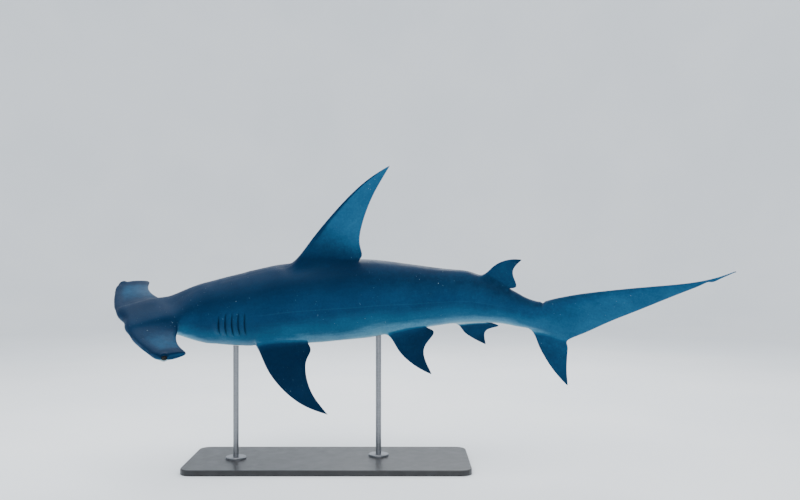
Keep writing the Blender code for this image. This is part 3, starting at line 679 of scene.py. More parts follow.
def on_nostrils(places, margin):
    """Whether places are in the hammer's front edge, at a nostril or its groove."""
    span = np.abs(places[:, 1])
    front = straight_table(HAMMER_FRONT, span)
    return (np.abs(span - NOSTRIL_SPAN + NOSTRIL_INSET) < NOSTRIL_REACH) & (places[:, 0] < front + margin)


def on_pit(places):
    return (np.abs(places[:, 0] - PIT_PLACE) < PIT_REACH) & (places[:, 2] > 0)


def pick_faces(test):
    """Selects the faces of the skin whose middles pass a test."""
    mesh = bmesh.from_edit_mesh(skin.data)
    middles = np.array([face.calc_center_median() for face in mesh.faces])
    pick(mesh, ())
    for face, chosen in zip(list(mesh.faces), test(middles)):
        if chosen:
            face.select_set(True)
    bmesh.update_edit_mesh(skin.data)


def refine(test, on_mould=True):
    """Splits each face of the skin whose middle passes the test into four."""
    alone(skin)
    bpy.ops.object.mode_set(mode="EDIT")
    bpy.ops.mesh.select_mode(type="FACE")
    pick_faces(test)
    bpy.ops.mesh.subdivide(number_cuts=1)
    bpy.ops.mesh.select_mode(type="VERT")
    bpy.ops.object.mode_set(mode="OBJECT")
    if on_mould:
        apply_modifier(skin, "SHRINKWRAP", target=mould, wrap_method="NEAREST_VERTEX")


refine(lambda places: on_head(places) | on_pit(places) | (places[:, 0] > LOBE_START))
refine(
    lambda places: on_gills(places) | on_mouth(places, 0.030) | on_nostrils(places, 0.020) | on_pit(places),
)
bpy.data.objects.remove(mould)
refine(lambda places: on_mouth(places, 0.016) | on_nostrils(places, 0.012), on_mould=False)
print("faces with a fine head:", len(skin.data.polygons))

# %% [markdown]
# ## Remember the smooth skin
#
# A hammerhead's head is dark above and pale below, and its fins are shaded in the same way. The
# paint for them goes by how far the skin faces down. That is stored now, as an attribute of the
# points, while the skin is still smooth: the flaps, lips and lids that follow would each get a
# shadow painted on if it were measured later.

# %% Remember which way the smooth skin faces
def write_attribute(mesh, name, values):
    """Stores a number or a vector for each point of a mesh."""
    vector = values.ndim == 2
    attribute = mesh.attributes.new(name, "FLOAT_VECTOR" if vector else "FLOAT", "POINT")
    attribute.data.foreach_set("vector" if vector else "value", values.astype(np.float32).ravel())


def read_attribute(mesh, name):
    """The numbers of an attribute as an array."""
    values = np.empty(len(mesh.vertices))
    mesh.attributes[name].data.foreach_get("value", values)
    return values


def coordinates(mesh):
    """Places of a mesh's points as an array."""
    places = np.empty(len(mesh.vertices) * 3)
    mesh.vertices.foreach_get("co", places)
    return places.reshape(-1, 3)


def point_normals(mesh):
    """Directions in which a mesh's points face, as an array."""
    normals = np.empty(len(mesh.vertices) * 3)
    mesh.vertex_normals.foreach_get("vector", normals)
    return normals.reshape(-1, 3)


write_attribute(skin.data, "facing_down", 0.5 - 0.5 * point_normals(skin.data)[:, 2])

# %% [markdown]
# ## The gill flaps
#
# A shark has no gill cover. Five slits on each side let the water out, and in front of each slit
# lies a soft flap that swells towards its rear edge and hangs over the gap. By hand one would cut
# along each slit and push the cut in. Bisect makes these cuts, as planes across the straight body.
# Then one profile, from the front of a flap to the skin behind its slit, lifts and sinks the points,
# and tucks the floor of the slit forward under the flap. Last the slits are bowed a little.

# %% Cut and shape five flaps on each side
NECK = 0.40
GILL_REARS = (0.484, 0.520, 0.556, 0.591, 0.626)
GILL_HALF_ANGLES = (22, 25, 26, 25, 22)
GILL_BOW = 0.012
BOW_STRENGTH = ((0.43, 0), (0.47, 1), (0.64, 1), (0.69, 0))
# Distance behind the flap's rear edge, lift out of the skin and shift aft.
FLAP_PROFILE = np.array((
    (-0.030, 0.0000, 0.0000), (-0.020, 0.0018, 0.0000), (-0.010, 0.0046, 0.0000),
    (-0.003, 0.0072, 0.0006), (0.0000, 0.0074, 0.0016), (0.0010, 0.0052, 0.0014),
    (0.0020, -0.0060, -0.0030), (0.0060, -0.0026, 0.0000), (0.0140, 0.0000, 0.0000),
))
# Painted shade in a slit, by distance behind the flap's rear edge.
SLIT_PAINTED_SHADE = ((0.0009, 0), (0.0020, 0.9), (0.0040, 0.6), (0.0100, 0))
SLIT_CUTS = (0.0, 0.0010, 0.0020, 0.0060)
CUT_REACH = 0.02
CUT_SPARE_ANGLE = 3


def cut_beside(rear, half_angle, cut):
    """Cuts the faces near one flap's rear edge along a plane across the body."""
    pick_faces(
        lambda middles: (np.abs(middles[:, 0] - rear) < CUT_REACH)
        & (np.abs(around_degrees(middles) - GILL_MIDDLE) < half_angle + CUT_SPARE_ANGLE)
    )
    bpy.ops.mesh.bisect(plane_co=(rear + cut, 0, 0), plane_no=(1, 0, 0))


def move_points(places):
    """Sets the points of the skin to new places."""
    skin.data.vertices.foreach_set("co", places.ravel())
    skin.data.update()


alone(skin)
bpy.ops.object.mode_set(mode="EDIT")
for rear, half_angle in zip(GILL_REARS, GILL_HALF_ANGLES):
    for cut in SLIT_CUTS:
        cut_beside(rear, half_angle, cut)
bpy.ops.object.mode_set(mode="OBJECT")
places, normals = coordinates(skin.data), point_normals(skin.data)
angle = around_degrees(places)
body = places[:, 0] > NECK
moved = places.copy()
slit_shade = np.zeros(len(places))
for rear, half_angle in zip(GILL_REARS, GILL_HALF_ANGLES):
    behind = places[:, 0] - rear
    along = (angle - GILL_MIDDLE) / half_angle
    strength = np.where(body, np.clip(1 - along**2, 0, 1) ** 0.6, 0)
    lift, shift = (np.interp(behind, FLAP_PROFILE[:, 0], FLAP_PROFILE[:, n]) for n in (1, 2))
    moved += normals * (lift * strength)[:, None]
    moved[:, 0] += shift * strength
    # Painted shade inside each slit, under its flap.
    slit_shade = np.maximum(slit_shade, strength * straight_table(SLIT_PAINTED_SHADE, behind))
bow = GILL_BOW * np.clip((angle - GILL_MIDDLE) / 26, -1.2, 1.2) ** 2
moved[:, 0] += np.where(body, bow * straight_table(BOW_STRENGTH, places[:, 0]), 0)
move_points(moved)
print("deepest slit:", round(float(-FLAP_PROFILE[:, 1].min() * 1000), 1), "mm, points:", len(places))

# %% [markdown]
# ## The mouth
#
# A shark's mouth is an arch under its head. The jaws are closed here, so what shows is a line
# between two lips, darkened with painted shade, a fuller lower jaw behind it, and a short crease
# that runs outwards from each corner. The distance of each point from the line of the arch decides
# how far it sinks or rises.

# %% Press in the line of the mouth
# Distance behind the line of the mouth, and lift out of the skin.
MOUTH_PROFILE = (
    (-0.0320, 0.0000), (-0.0150, 0.0026), (-0.0085, 0.0066), (-0.0045, 0.0062), (-0.0020, -0.0040),
    (0.0000, -0.0100), (0.0022, -0.0040), (0.0050, 0.0070), (0.0100, 0.0104), (0.0150, 0.0070),
    (0.0190, 0.0040), (0.0320, 0.0070), (0.0700, 0.0000),
)
# Painted shade in the line of the mouth, by how far a point sinks.
MOUTH_PAINTED_SHADE = ((-0.004, 1), (0.003, 0))

places, normals = coordinates(skin.data), point_normals(skin.data)
under = (
    (places[:, 2] < -0.02) & (normals[:, 2] < -0.2) & (places[:, 0] > 0.13) & (places[:, 0] < 0.36)
    & (np.abs(places[:, 1]) < 0.15)
)
distance, share = from_mouth(places[under])
fade = np.clip((1.0 - np.abs(share) ** 8), 0, 1)
lift = straight_table(MOUTH_PROFILE, distance) * fade
places[under] += normals[under] * lift[:, None]
mouth_shade = np.zeros(len(places))
mouth_shade[under] = straight_table(MOUTH_PAINTED_SHADE, lift) * (np.abs(distance) < 0.006)
move_points(places)
print("points of the mouth:", int(under.sum()))

# %% [markdown]
# ## The nostrils
#
# The nostrils of a hammerhead are far out, in the front edge of the hammer beside each eye. A
# shallow groove leads the water along the edge into a slit, and a small flap divides the slit into
# an inlet and an outlet.

# %% Sink the grooves and slits
NOSTRIL_HALF_LENGTH = 0.016
NOSTRIL_HALF_HEIGHT = 0.0024
NOSTRIL_DEPTH = 0.009
NOSTRIL_RIM = 0.0016
NOSTRIL_FLAP_HALF_WIDTH = 0.0035
NOSTRIL_FLAP_SHARE = 0.75
GROOVE_DEPTH = 0.0028
GROOVE_START = 0.225
EDGE_REACH = 0.014


def bell(x):
    """The bell curve: 1 where x is 0, and nearly 0 from 2 on either side."""
    return np.exp(-(x**2))


places = coordinates(skin.data)
span = np.abs(places[:, 1])
middle = straight_table(HAMMER_MID, span)
near = (places[:, 0] < straight_table(HAMMER_FRONT, span) + EDGE_REACH) & (span > 0.20)
across = (places[:, 2] - middle) / NOSTRIL_HALF_HEIGHT
slit = np.clip(1 - ((span - NOSTRIL_SPAN) / NOSTRIL_HALF_LENGTH) ** 2, 0, 1)
flap = 1 - NOSTRIL_FLAP_SHARE * bell((span - NOSTRIL_SPAN) / NOSTRIL_FLAP_HALF_WIDTH)
stops = (GROOVE_START, GROOVE_START + 0.03, NOSTRIL_SPAN, NOSTRIL_SPAN + 0.012)
groove = np.interp(span, stops, (0, 1, 1, 0))
depth = np.maximum(NOSTRIL_DEPTH * slit * flap, GROOVE_DEPTH * groove) * bell(across)
rim = NOSTRIL_RIM * slit * bell(np.abs(across) - 2.4)
places[near, 0] += (depth - rim)[near]
# Painted shade inside the slits and grooves of the nostrils.
nostril_shade = np.where(near, np.clip(depth / NOSTRIL_DEPTH * 1.4 - 0.4, 0, 1), 0)
move_points(places)
print("nostril slits:", round(2 * NOSTRIL_HALF_LENGTH * 1000), "mm long")

# %% [markdown]
# ## The pit before the tail and the notch near its tip
#
# Two marks of the family are small. A crescent pit lies across the top of the tail's stalk, just
# before the fin, and catches a point of light in the photograph. Near the tip, the rear edge of the
# fin has a notch, and a little lobe hangs behind it. Both are pushed into the rounded skin.

# %% Push in the pit and the notch
PIT_DEPTH = 0.008
PIT_HALF_WIDTH = 0.0075
PIT_HALF_ANGLE = 62
PIT_BOW = 0.012
NOTCH_PLACE = 3.020
NOTCH_DEPTH = 0.007
NOTCH_FRONT_SLOPE = 0.030
NOTCH_REAR_SLOPE = 0.010
LOBE_SWELLING = 0.004


def lobe_lift(places):
    """How far the points near the tail's tip rise to form the notch and the lobe behind it."""
    at = np.linspace(2.8, 3.12, 65)
    edges = np.array([from_table(BODY, x) for x in at])
    top, bottom = (np.interp(places[:, 0], at, edges[:, n]) for n in (1, 2))
    low = np.clip((top - places[:, 2]) / (top + bottom), 0, 1)
    behind = places[:, 0] - NOTCH_PLACE
    notch = NOTCH_DEPTH * bell(behind / np.where(behind < 0, NOTCH_FRONT_SLOPE, NOTCH_REAR_SLOPE))
    swelling = LOBE_SWELLING * bell((behind - 0.030) / 0.018)
    return np.where(places[:, 0] > 2.9, low**2 * (notch - swelling), 0)


places, normals = coordinates(skin.data), point_normals(skin.data)
turn = around_degrees(places) / PIT_HALF_ANGLE
crescent = (places[:, 0] - PIT_PLACE - PIT_BOW * turn**2) / PIT_HALF_WIDTH
pit = PIT_DEPTH * bell(crescent) * np.clip(1 - turn**2, 0, 1)
pit[np.abs(places[:, 0] - PIT_PLACE) > 0.05] = 0
places -= normals * pit[:, None]
lobe = lobe_lift(places)
places[:, 2] += lobe
move_points(places)
print("pit:", round(pit.max() * 1000, 1), "mm deep, notch:", round(lobe.max() * 1000, 1), "mm")

# %% [markdown]
# ## Remember the painted shade in the hollows
#
# The gill slits, the line of the mouth and the nostrils lie in shade inside. Light alone won't darken
# a slit of a millimetre or two, so a modeller paints the shade in. How deep each point lies is stored
# here as the strength of its painted shade, and the sockets of the eyes add their own painted shade later.

# %% Keep the painted shade of each point in the hollows
write_attribute(skin.data, "painted_hollow_shade", np.maximum.reduce((slit_shade, mouth_shade, nostril_shade)))
print("points in a hollow:", int((read_attribute(skin.data, "painted_hollow_shade") > 0.5).sum()))

# %% [markdown]
# ## Where the eyes look
#
# An eye sits in each end of the hammer and looks outwards and a little forward. Its socket is going
# to grow from the edge of a hole in the skin. The corners of that edge are unevenly spaced, so two
# helpers walk along it and give each corner its angle round the eye.

# %% The eye's place and the edge of its hole
EYE_PLACE = (0.110, 0.364, -0.002)
EYE_RADIUS = 0.017
GAZE_FORWARD = 12


def eye_frame(side):
    """Middle of the eye on one side, and the turn from straight outwards to where it looks."""
    middle = Vector((EYE_PLACE[0], side * EYE_PLACE[1], EYE_PLACE[2]))
    return middle, Matrix.Rotation(radians(side * GAZE_FORWARD), 3, "Z")


def edge_loop(mesh):
    """The corners round the one open edge of a mesh, in order."""
    beside = {}
    for edge in mesh.edges:
        if edge.is_boundary:
            a, b = edge.verts
            beside.setdefault(a, []).append(b)
            beside.setdefault(b, []).append(a)
    loop, last = [min(beside, key=lambda v: v.co.x)], None
    while True:
        onward = [v for v in beside[loop[-1]] if v != last]
        last = loop[-1]
        if onward[0] == loop[0]:
            return loop
        loop.append(onward[0])


def even_turns(starts, middle):
    """Angles round the eye for the corners of its hole, spaced as the corners are."""
    lengths = [(b - a).length for a, b in zip(starts, starts[1:] + starts[:1])]
    way = np.concatenate(([0], np.cumsum(lengths)[:-1])) / sum(lengths) * 2 * pi
    turns = np.unwrap([np.arctan2(p.z - middle.z, p.x - middle.x) for p in starts])
    if turns[-1] < turns[0]:
        way = -way
    return way + np.mean(turns - way)


print("each eye looks", GAZE_FORWARD, "degrees forward of straight out")

# %% [markdown]
# ## The lids and sockets of the eyes
#
# Each end of the hammer swells round an eye. The faces where the eye goes are taken out, and the
# open edge is extruded inwards ring by ring, as the body was: up the swelling, over a crease and
# the rim of the lid, and round behind the eyeball, where the last ring is merged to a point.

# %% Open a socket in each end of the hammer
SOCKET_CUT = 0.029
SOCKET_CUT_SPANWISE = 1.35
LID_STRETCH = 1.12
LID_FOOT = 0.006
LID_FOOT_BLEND = 0.003
# The swelling's rings go part of the way from the edge of the hole to the lid's first ring.
LID_SWELLING = (0.22, 0.45, 0.68, 0.86, 1.0)
# Distance from the eye's axis and height above its middle, from the swelling to the lid's rim.
LID_PROFILE = (
    (0.0240, 0.0070), (0.0226, 0.0084), (0.0214, 0.0082), (0.0203, 0.0092), (0.0190, 0.0108),
    (0.0174, 0.0119), (0.0158, 0.0122), (0.0145, 0.0117), (0.0140, 0.0108),
)
# Behind the lid the rings lie on a ball a little larger than the eye, at these angles.
SOCKET_GAP = 0.0004
SOCKET_TURNS = (56, 75, 95, 120, 150)
EYE_MARK = 100
SMOOTH_REACH = 0.042
SWELLING_SMOOTHING = 14


def socket_rings():
    """For each ring: share of the way from the hole's edge, distance from the axis and height."""
    reach = EYE_RADIUS + SOCKET_GAP
    rings = [(share, *LID_PROFILE[0]) for share in LID_SWELLING]
    rings += [(1.0, *row) for row in LID_PROFILE[1:]]
    rings += [(1.0, reach * sin(radians(turn)), reach * cos(radians(turn))) for turn in SOCKET_TURNS]
    return rings


def cut_hole(middle):
    """Takes out the faces where an eye goes, and gives the mesh and the corners round the hole."""
    stretched = Vector((1, SOCKET_CUT_SPANWISE, 1))
    mesh = bmesh.from_edit_mesh(skin.data)
    pick(mesh, ())
    for face in mesh.faces:
        if ((face.calc_center_median() - middle) * stretched).length < SOCKET_CUT:
            face.select_set(True)
    bpy.ops.mesh.delete(type="FACE")
    mesh = bmesh.from_edit_mesh(skin.data)
    loop = edge_loop(mesh)
    spot, height = numbers(mesh, "spot", "height")
    for n, corner in enumerate(loop):
        corner[spot] = n
        corner[height] = 0
    pick(mesh, loop)
    return mesh, loop


def soften_swelling(middle):
    """Smooths the swelling and the skin beside it, but not the lid, and clears the ring marks."""
    mesh = bmesh.from_edit_mesh(skin.data)
    (height,) = numbers(mesh, "height")
    swelling = range(EYE_MARK, EYE_MARK + len(LID_SWELLING) - 1)
    pick(mesh, [
        v for v in mesh.verts
        if v[height] in swelling or v[height] < EYE_MARK and (v.co - middle).length < SMOOTH_REACH
    ])
    bpy.ops.mesh.vertices_smooth(factor=0.5, repeat=SWELLING_SMOOTHING)
    mesh = bmesh.from_edit_mesh(skin.data)
    (height,) = numbers(mesh, "height")
    for corner in mesh.verts:
        if corner[height] >= EYE_MARK:
            corner[height] = 0


def open_socket(side):
    """Cuts the hole for one eye and extrudes its edge into lid and socket."""
    middle, gaze = eye_frame(side)
    mesh, loop = cut_hole(middle)
    starts = [corner.co.copy() for corner in loop]
    turns = even_turns(starts, middle)
    inside = len(LID_SWELLING) + len(LID_PROFILE) - 3
    for n, (share, radius, rise) in enumerate(socket_rings()):
        mesh, corners = extrude()
        spot, height = numbers(mesh, "spot", "height")
        painted_hollow_shade = mesh.verts.layers.float["painted_hollow_shade"]
        stretch = 1 + (LID_STRETCH - 1) * min(1, max(0, rise - LID_FOOT) / LID_FOOT_BLEND)
        for corner in corners:
            turn = turns[corner[spot]]
            out = Vector((stretch * radius * cos(turn), side * rise, radius * sin(turn)))
            corner.co = starts[corner[spot]].lerp(middle + gaze @ out, share)
            corner[height] = EYE_MARK + n
            # The rings behind the lid get painted shade, deep in the socket.
            corner[painted_hollow_shade] = float(n > inside)
    bpy.ops.mesh.merge(type="CENTER")
    soften_swelling(middle)
    return len(loop)


alone(skin)
bpy.ops.object.mode_set(mode="EDIT")
around = [open_socket(side) for side in (1, -1)]
face_outwards()
print("points round each eye:", around)

# %% [markdown]
# ## The eyes
#
# A hammerhead's eye is a dark ball with a thin pale ring round its pupil. A ball is added with its
# poles across the body, and the cap that shows is pulled out a little, as the clear cornea stands
# proud of the eye. Each point keeps its angle from the middle of the pupil, for the colours.

# %% Two eyeballs with a cornea
CORNEA_ANGLE = 42
CORNEA_STEP = 6
CORNEA_RISE = 0.0001


def make_eye(name, side):
    """An eyeball in its socket, its cornea pulled out the way it looks."""
    middle, gaze = eye_frame(side)
    bpy.ops.object.select_all(action="DESELECT")
    bpy.ops.mesh.primitive_uv_sphere_add(
        segments=48, ring_count=32, radius=EYE_RADIUS, location=middle,
        rotation=(radians(-90 * side), 0, radians(side * GAZE_FORWARD)),
    )
    bpy.ops.object.transform_apply()
    eye = bpy.context.active_object
    eye.name = name
    bpy.ops.object.mode_set(mode="EDIT")
    ball = bmesh.from_edit_mesh(eye.data)
    axis = gaze @ Vector((0, side, 0))
    for turn in range(CORNEA_STEP, CORNEA_ANGLE, CORNEA_STEP):
        pick(ball, [v for v in ball.verts if (v.co - middle).angle(axis) < radians(turn + 1)])
        bpy.ops.transform.translate(value=axis * CORNEA_RISE)
        ball = bmesh.from_edit_mesh(eye.data)
    bpy.ops.object.mode_set(mode="OBJECT")
    bpy.ops.object.shade_smooth()
    away = coordinates(eye.data) - np.array(middle)
    angle = np.arccos(np.clip(away @ np.array(axis) / np.linalg.norm(away, axis=1), -1, 1))
    write_attribute(eye.data, "from_pupil", np.degrees(angle) / 90)
    iris = np.column_stack((away[:, 0], away[:, 2], np.zeros(len(away)))) / EYE_RADIUS
    write_attribute(eye.data, "iris_place", iris)
    return eye


eyes = {name: make_eye(name + "_ball", side) for name, side in (("eye_right", 1), ("eye_left", -1))}
print("an eye is", round(2 * EYE_RADIUS * 1000), "mm across")

# %% [markdown]
# ## Remember the straight shark
#
# The markings of a shark follow its body: dark along the back, pale along the belly, dusky at the
# tips of the fins. In a bent body that is hard to say by height alone. So before the bend each
# point of the skin keeps its straight place as an attribute, which the materials read, and with it
# how far round the body it lies, how far up and back on a fin, how dusky it is, with painted shade
# on the fins below the body, and how pale, with painted light on the tops of the hammer and
# painted shade along its front edge.

# %% Write the attributes that the markings read
def group_weights(name):
    """Weight of each point of the skin in a vertex group, 0 where it isn't in it."""
    index, weights = skin.vertex_groups[name].index, np.zeros(len(skin.data.vertices))
    for vertex in skin.data.vertices:
        for entry in vertex.groups:
            if entry.group == index:
                weights[vertex.index] = entry.weight
    return weights


def fade_in(values, low, high):
    """0 below low, 1 above high and a soft curve between."""
    t = np.clip((values - low) / (high - low), 0, 1)
    return t * t * (3 - 2 * t)


def way_round(places):
    """How far round the body each point lies, from 0 at the back to 1 at the belly."""
    at = np.linspace(0, 3.13, 314)
    tables = np.array([from_table(BODY, x) for x in at])
    width, back, belly = (np.interp(places[:, 0], at, tables[:, n]) for n in range(3))
    middle = np.where(places[:, 0] > TAIL_START, (back - belly) / 2, 0)
    tall = np.where(places[:, 2] > middle, back - middle, belly + middle)
    return np.arctan2(np.abs(places[:, 1]) / width, (places[:, 2] - middle) / tall) / pi


# For each fin: its shade from 0 as the back to 1 as the belly, how dusky it is at its root and at
# its tip, and how much paler its middle is. The duskiness is partly painted shade, strongest on the
# fins that hang below the body. The paired fins are shaded by which way they face.
FIN_LOOKS = {
    "first_dorsal_fin": (0.30, 0.00, 0.15, 0.75), "second_dorsal_fin": (0.34, 0.10, 0.60, 0.05),
    "anal_fin": (0.40, 0.30, 0.85, 0.0), "caudal_fin_lower_lobe": (0.36, 0.05, 0.45, -0.1),
    "pectoral_fin": (None, 0.80, 0.90, 0.0), "pelvic_fin": (None, 0.40, 0.75, 0.0),
}
FIN_FRONT_EDGE = 0.10


def paint_fins(weights, chord, facing, looks):
    """Shade, duskiness with its painted shade, and paleness of the points of one fin."""
    shade, root_dusk_and_shade, tip_dusk, pale = looks
    blend = fade_in(weights, 0.0, 0.07 if shade is None else 0.12)
    front = 1 - fade_in(chord, 0.0, FIN_FRONT_EDGE)
    dusk_and_painted_shade = root_dusk_and_shade + (tip_dusk - root_dusk_and_shade) * fade_in(weights, 0.45, 1.0)
    if shade is None:
        shade, below = facing, fade_in(facing, 0.5, 0.7)
        dusk_and_painted_shade = dusk_and_painted_shade * (1 - below) + tip_dusk * fade_in(weights, 0.78, 1.0) * below
    lighter = pale * fade_in(weights, 0.0, 0.45) * fade_in(chord, 0.0, 0.12)
    darker = 0.2 * front * fade_in(weights, 0.1, 0.3)
    return blend, shade, dusk_and_painted_shade * blend, (lighter - darker) * blend


def paint_head_light_and_shade(places, normals):
    """How much paler or darker than its surroundings each point of the head is, from -1 to 1: painted light
    on the upward-facing tops of the wings, painted shade along the front edge, and darker at the ends and
    along the midline.
    """
    span = np.abs(places[:, 1])
    behind = places[:, 0] - straight_table(HAMMER_FRONT, span)
    on_head = 1 - fade_in(places[:, 0], 0.20, 0.32)
    # Painted light on the tops of the wings, where they face up.
    wing = fade_in(span, 0.08, 0.26) * (1 - fade_in(span, 0.310, 0.358))
    wing = wing * fade_in(behind, 0.0, 0.060) * fade_in(normals[:, 2], 0.2, 0.7)
    # Painted shade along the front edge.
    edge = 1 - fade_in(behind, 0.002, 0.012)
    end = fade_in(span, 0.350, 0.368)
    middle = 1 - fade_in(span, 0.06, 0.13)
    return on_head * (0.46 * wing - 0.10 * middle - 0.45 * np.maximum(edge, end))


# How much paler the trunk and tail are than the head, by station. Gills and shoulders are darkest.
TRUNK_TONE = ((0.30, 0), (0.45, -0.15), (0.75, -0.10), (1.0, 0.05), (1.5, 0.22), (2.1, 0.28),
              (2.6, 0.48), (3.1, 0.55))
# How much further down the dark of the back reaches, by station.
SHADE_DROP = ((0.45, 0.075), (0.75, 0.06), (1.2, 0.02))
# Shade of the tail fin, by how far round the stalk a point lies.
TAIL_SHADE = ((0, 0.05), (0.12, 0.15), (0.30, 0.50), (1, 0.58))


def describe_skin():
    """Keeps the straight place of each point and the numbers that its paint depends on."""
    places, normals = coordinates(skin.data), point_normals(skin.data)
    facing = read_attribute(skin.data, "facing_down")
    turn = way_round(places)
    head = 1 - fade_in(places[:, 0], 0.27, 0.44)
    shade = turn - straight_table(SHADE_DROP, places[:, 0])
    shade = shade * (1 - head) + facing * head
    tail = fade_in(places[:, 0], 2.02, 2.42)
    shade = shade * (1 - tail) + straight_table(TAIL_SHADE, turn) * tail
    tone = paint_head_light_and_shade(places, normals) + straight_table(TRUNK_TONE, places[:, 0])
    chord = group_weights(CHORD_GROUP)
    span, dusk_and_painted_shade = np.zeros(len(places)), np.zeros(len(places))
    for group in skin.vertex_groups:
        if "hammer" in group.name or group.name == CHORD_GROUP:
            continue
        weights = group_weights(group.name)
        looks = FIN_LOOKS[group.name.replace("_right", "").replace("_left", "")]
        blend, fin_shade, fin_dusk_and_shade, lighter = paint_fins(weights, chord, facing, looks)
        shade = shade * (1 - blend) + fin_shade * blend
        span, dusk_and_painted_shade, tone = np.maximum(span, weights), np.maximum(dusk_and_painted_shade, fin_dusk_and_shade), tone + lighter
    write_attribute(skin.data, "straight", places)
    write_attribute(skin.data, "fin_place", np.column_stack((chord, span, np.zeros(len(places)))))
    for name, values in (("shade", shade), ("round", turn), ("dusk_and_painted_shade", dusk_and_painted_shade), ("tone", tone)):
        write_attribute(skin.data, name, values)


describe_skin()
print("attributes:", [a.name for a in skin.data.attributes if not a.name.startswith(".")])

# %% [markdown]
# ## Bend the shark into its turn
#
# The spine is walked from the snout to the tail in steps of a centimetre. At each step it turns a
# little: a heading, a rise and a bank, read from three short tables. Each point of the skin then
# moves with the step that it stood on. The bend is one smooth function, so what was shaped
# straight keeps its form, and the eyes are bent with the same function as the sockets they sit in.

# %% The spine of the turn
SNOUT = Vector((-1.045, -0.250, 0.780))
YAW = ((0.00, 31), (0.20, 28.5), (0.45, 17), (0.80, 8), (1.20, 1), (1.60, -5), (2.00, -11),
       (2.40, -16), (3.12, -20))
PITCH = ((0.00, 8), (0.40, 6), (0.80, 4.5), (1.20, 1.5), (1.60, 0.5), (1.80, -3), (2.00, -11),
         (2.20, -15), (3.12, -15))
ROLL = ((0.00, 27.3), (0.50, 25.5), (1.00, 23), (1.60, 20), (2.20, 15), (3.12, 12))
SPINE_STEP = 0.01
SPINE_LENGTH = 3.4


def spine_frames():
    """Place, aft, right and up of the spine at each step, walked from the snout to the tail."""
    frames, place = [], SNOUT.copy()
    for n in range(int(SPINE_LENGTH / SPINE_STEP) + 1):
        x = n * SPINE_STEP
        yaw, pitch, roll = (radians(value_at(table, x)) for table in (YAW, PITCH, ROLL))
        aft = Vector((cos(yaw) * cos(pitch), sin(yaw) * cos(pitch), sin(pitch)))
        level = Vector((-sin(yaw), cos(yaw), 0))
        rise = aft.cross(level)
        right = level * cos(roll) + rise * sin(roll)
        up = rise * cos(roll) - level * sin(roll)
        frames.append((place.copy(), aft, right, up))
        place += aft * SPINE_STEP
    return np.array(frames)


SPINE = spine_frames()


def bend(places):
    """Where points of the straight shark are in the turn."""
    at = np.clip(places[:, 0], 0, None) / SPINE_STEP
    step = np.minimum(at.astype(int), len(SPINE) - 2)
    part = (at - step)[:, None, None]
    place, aft, right, up = np.moveaxis(SPINE[step] * (1 - part) + SPINE[step + 1] * part, 1, 0)
    return place + aft * np.minimum(places[:, :1], 0) + right * places[:, 1:2] + up * places[:, 2:3]


def bend_item(item):
    """Bends a finished straight piece into the turn."""
    item.data.vertices.foreach_set("co", bend(coordinates(item.data)).ravel())
    item.data.update()


bend_item(skin)
for eye in eyes.values():
    bend_item(eye)
print("the tail swings", round(float(SPINE[312][0][1] - SPINE[150][0][1]), 3), "m to the side")

# %% [markdown]
# ## The hide
#
# A shark's hide is countershaded: slate blue on the back, paler down the flank, and off-white
# below a wavy border. It is matt to satin, because millions of tiny skin teeth cover it. The
# colours are mixed from the attributes of the straight shark, with noise to waver the borders, and
# the skin teeth are a fine bump. A small class keeps the adding and joining of nodes short.

# %% Helpers for materials
def paint(red, green, blue):
    """A paint colour, given as the 0 to 255 values that a screen shows, for a shader."""
    def linear(value):
        value /= 255
        return value / 12.92 if value <= 0.04045 else ((value + 0.055) / 1.055) ** 2.4
    return (linear(red), linear(green), linear(blue), 1)


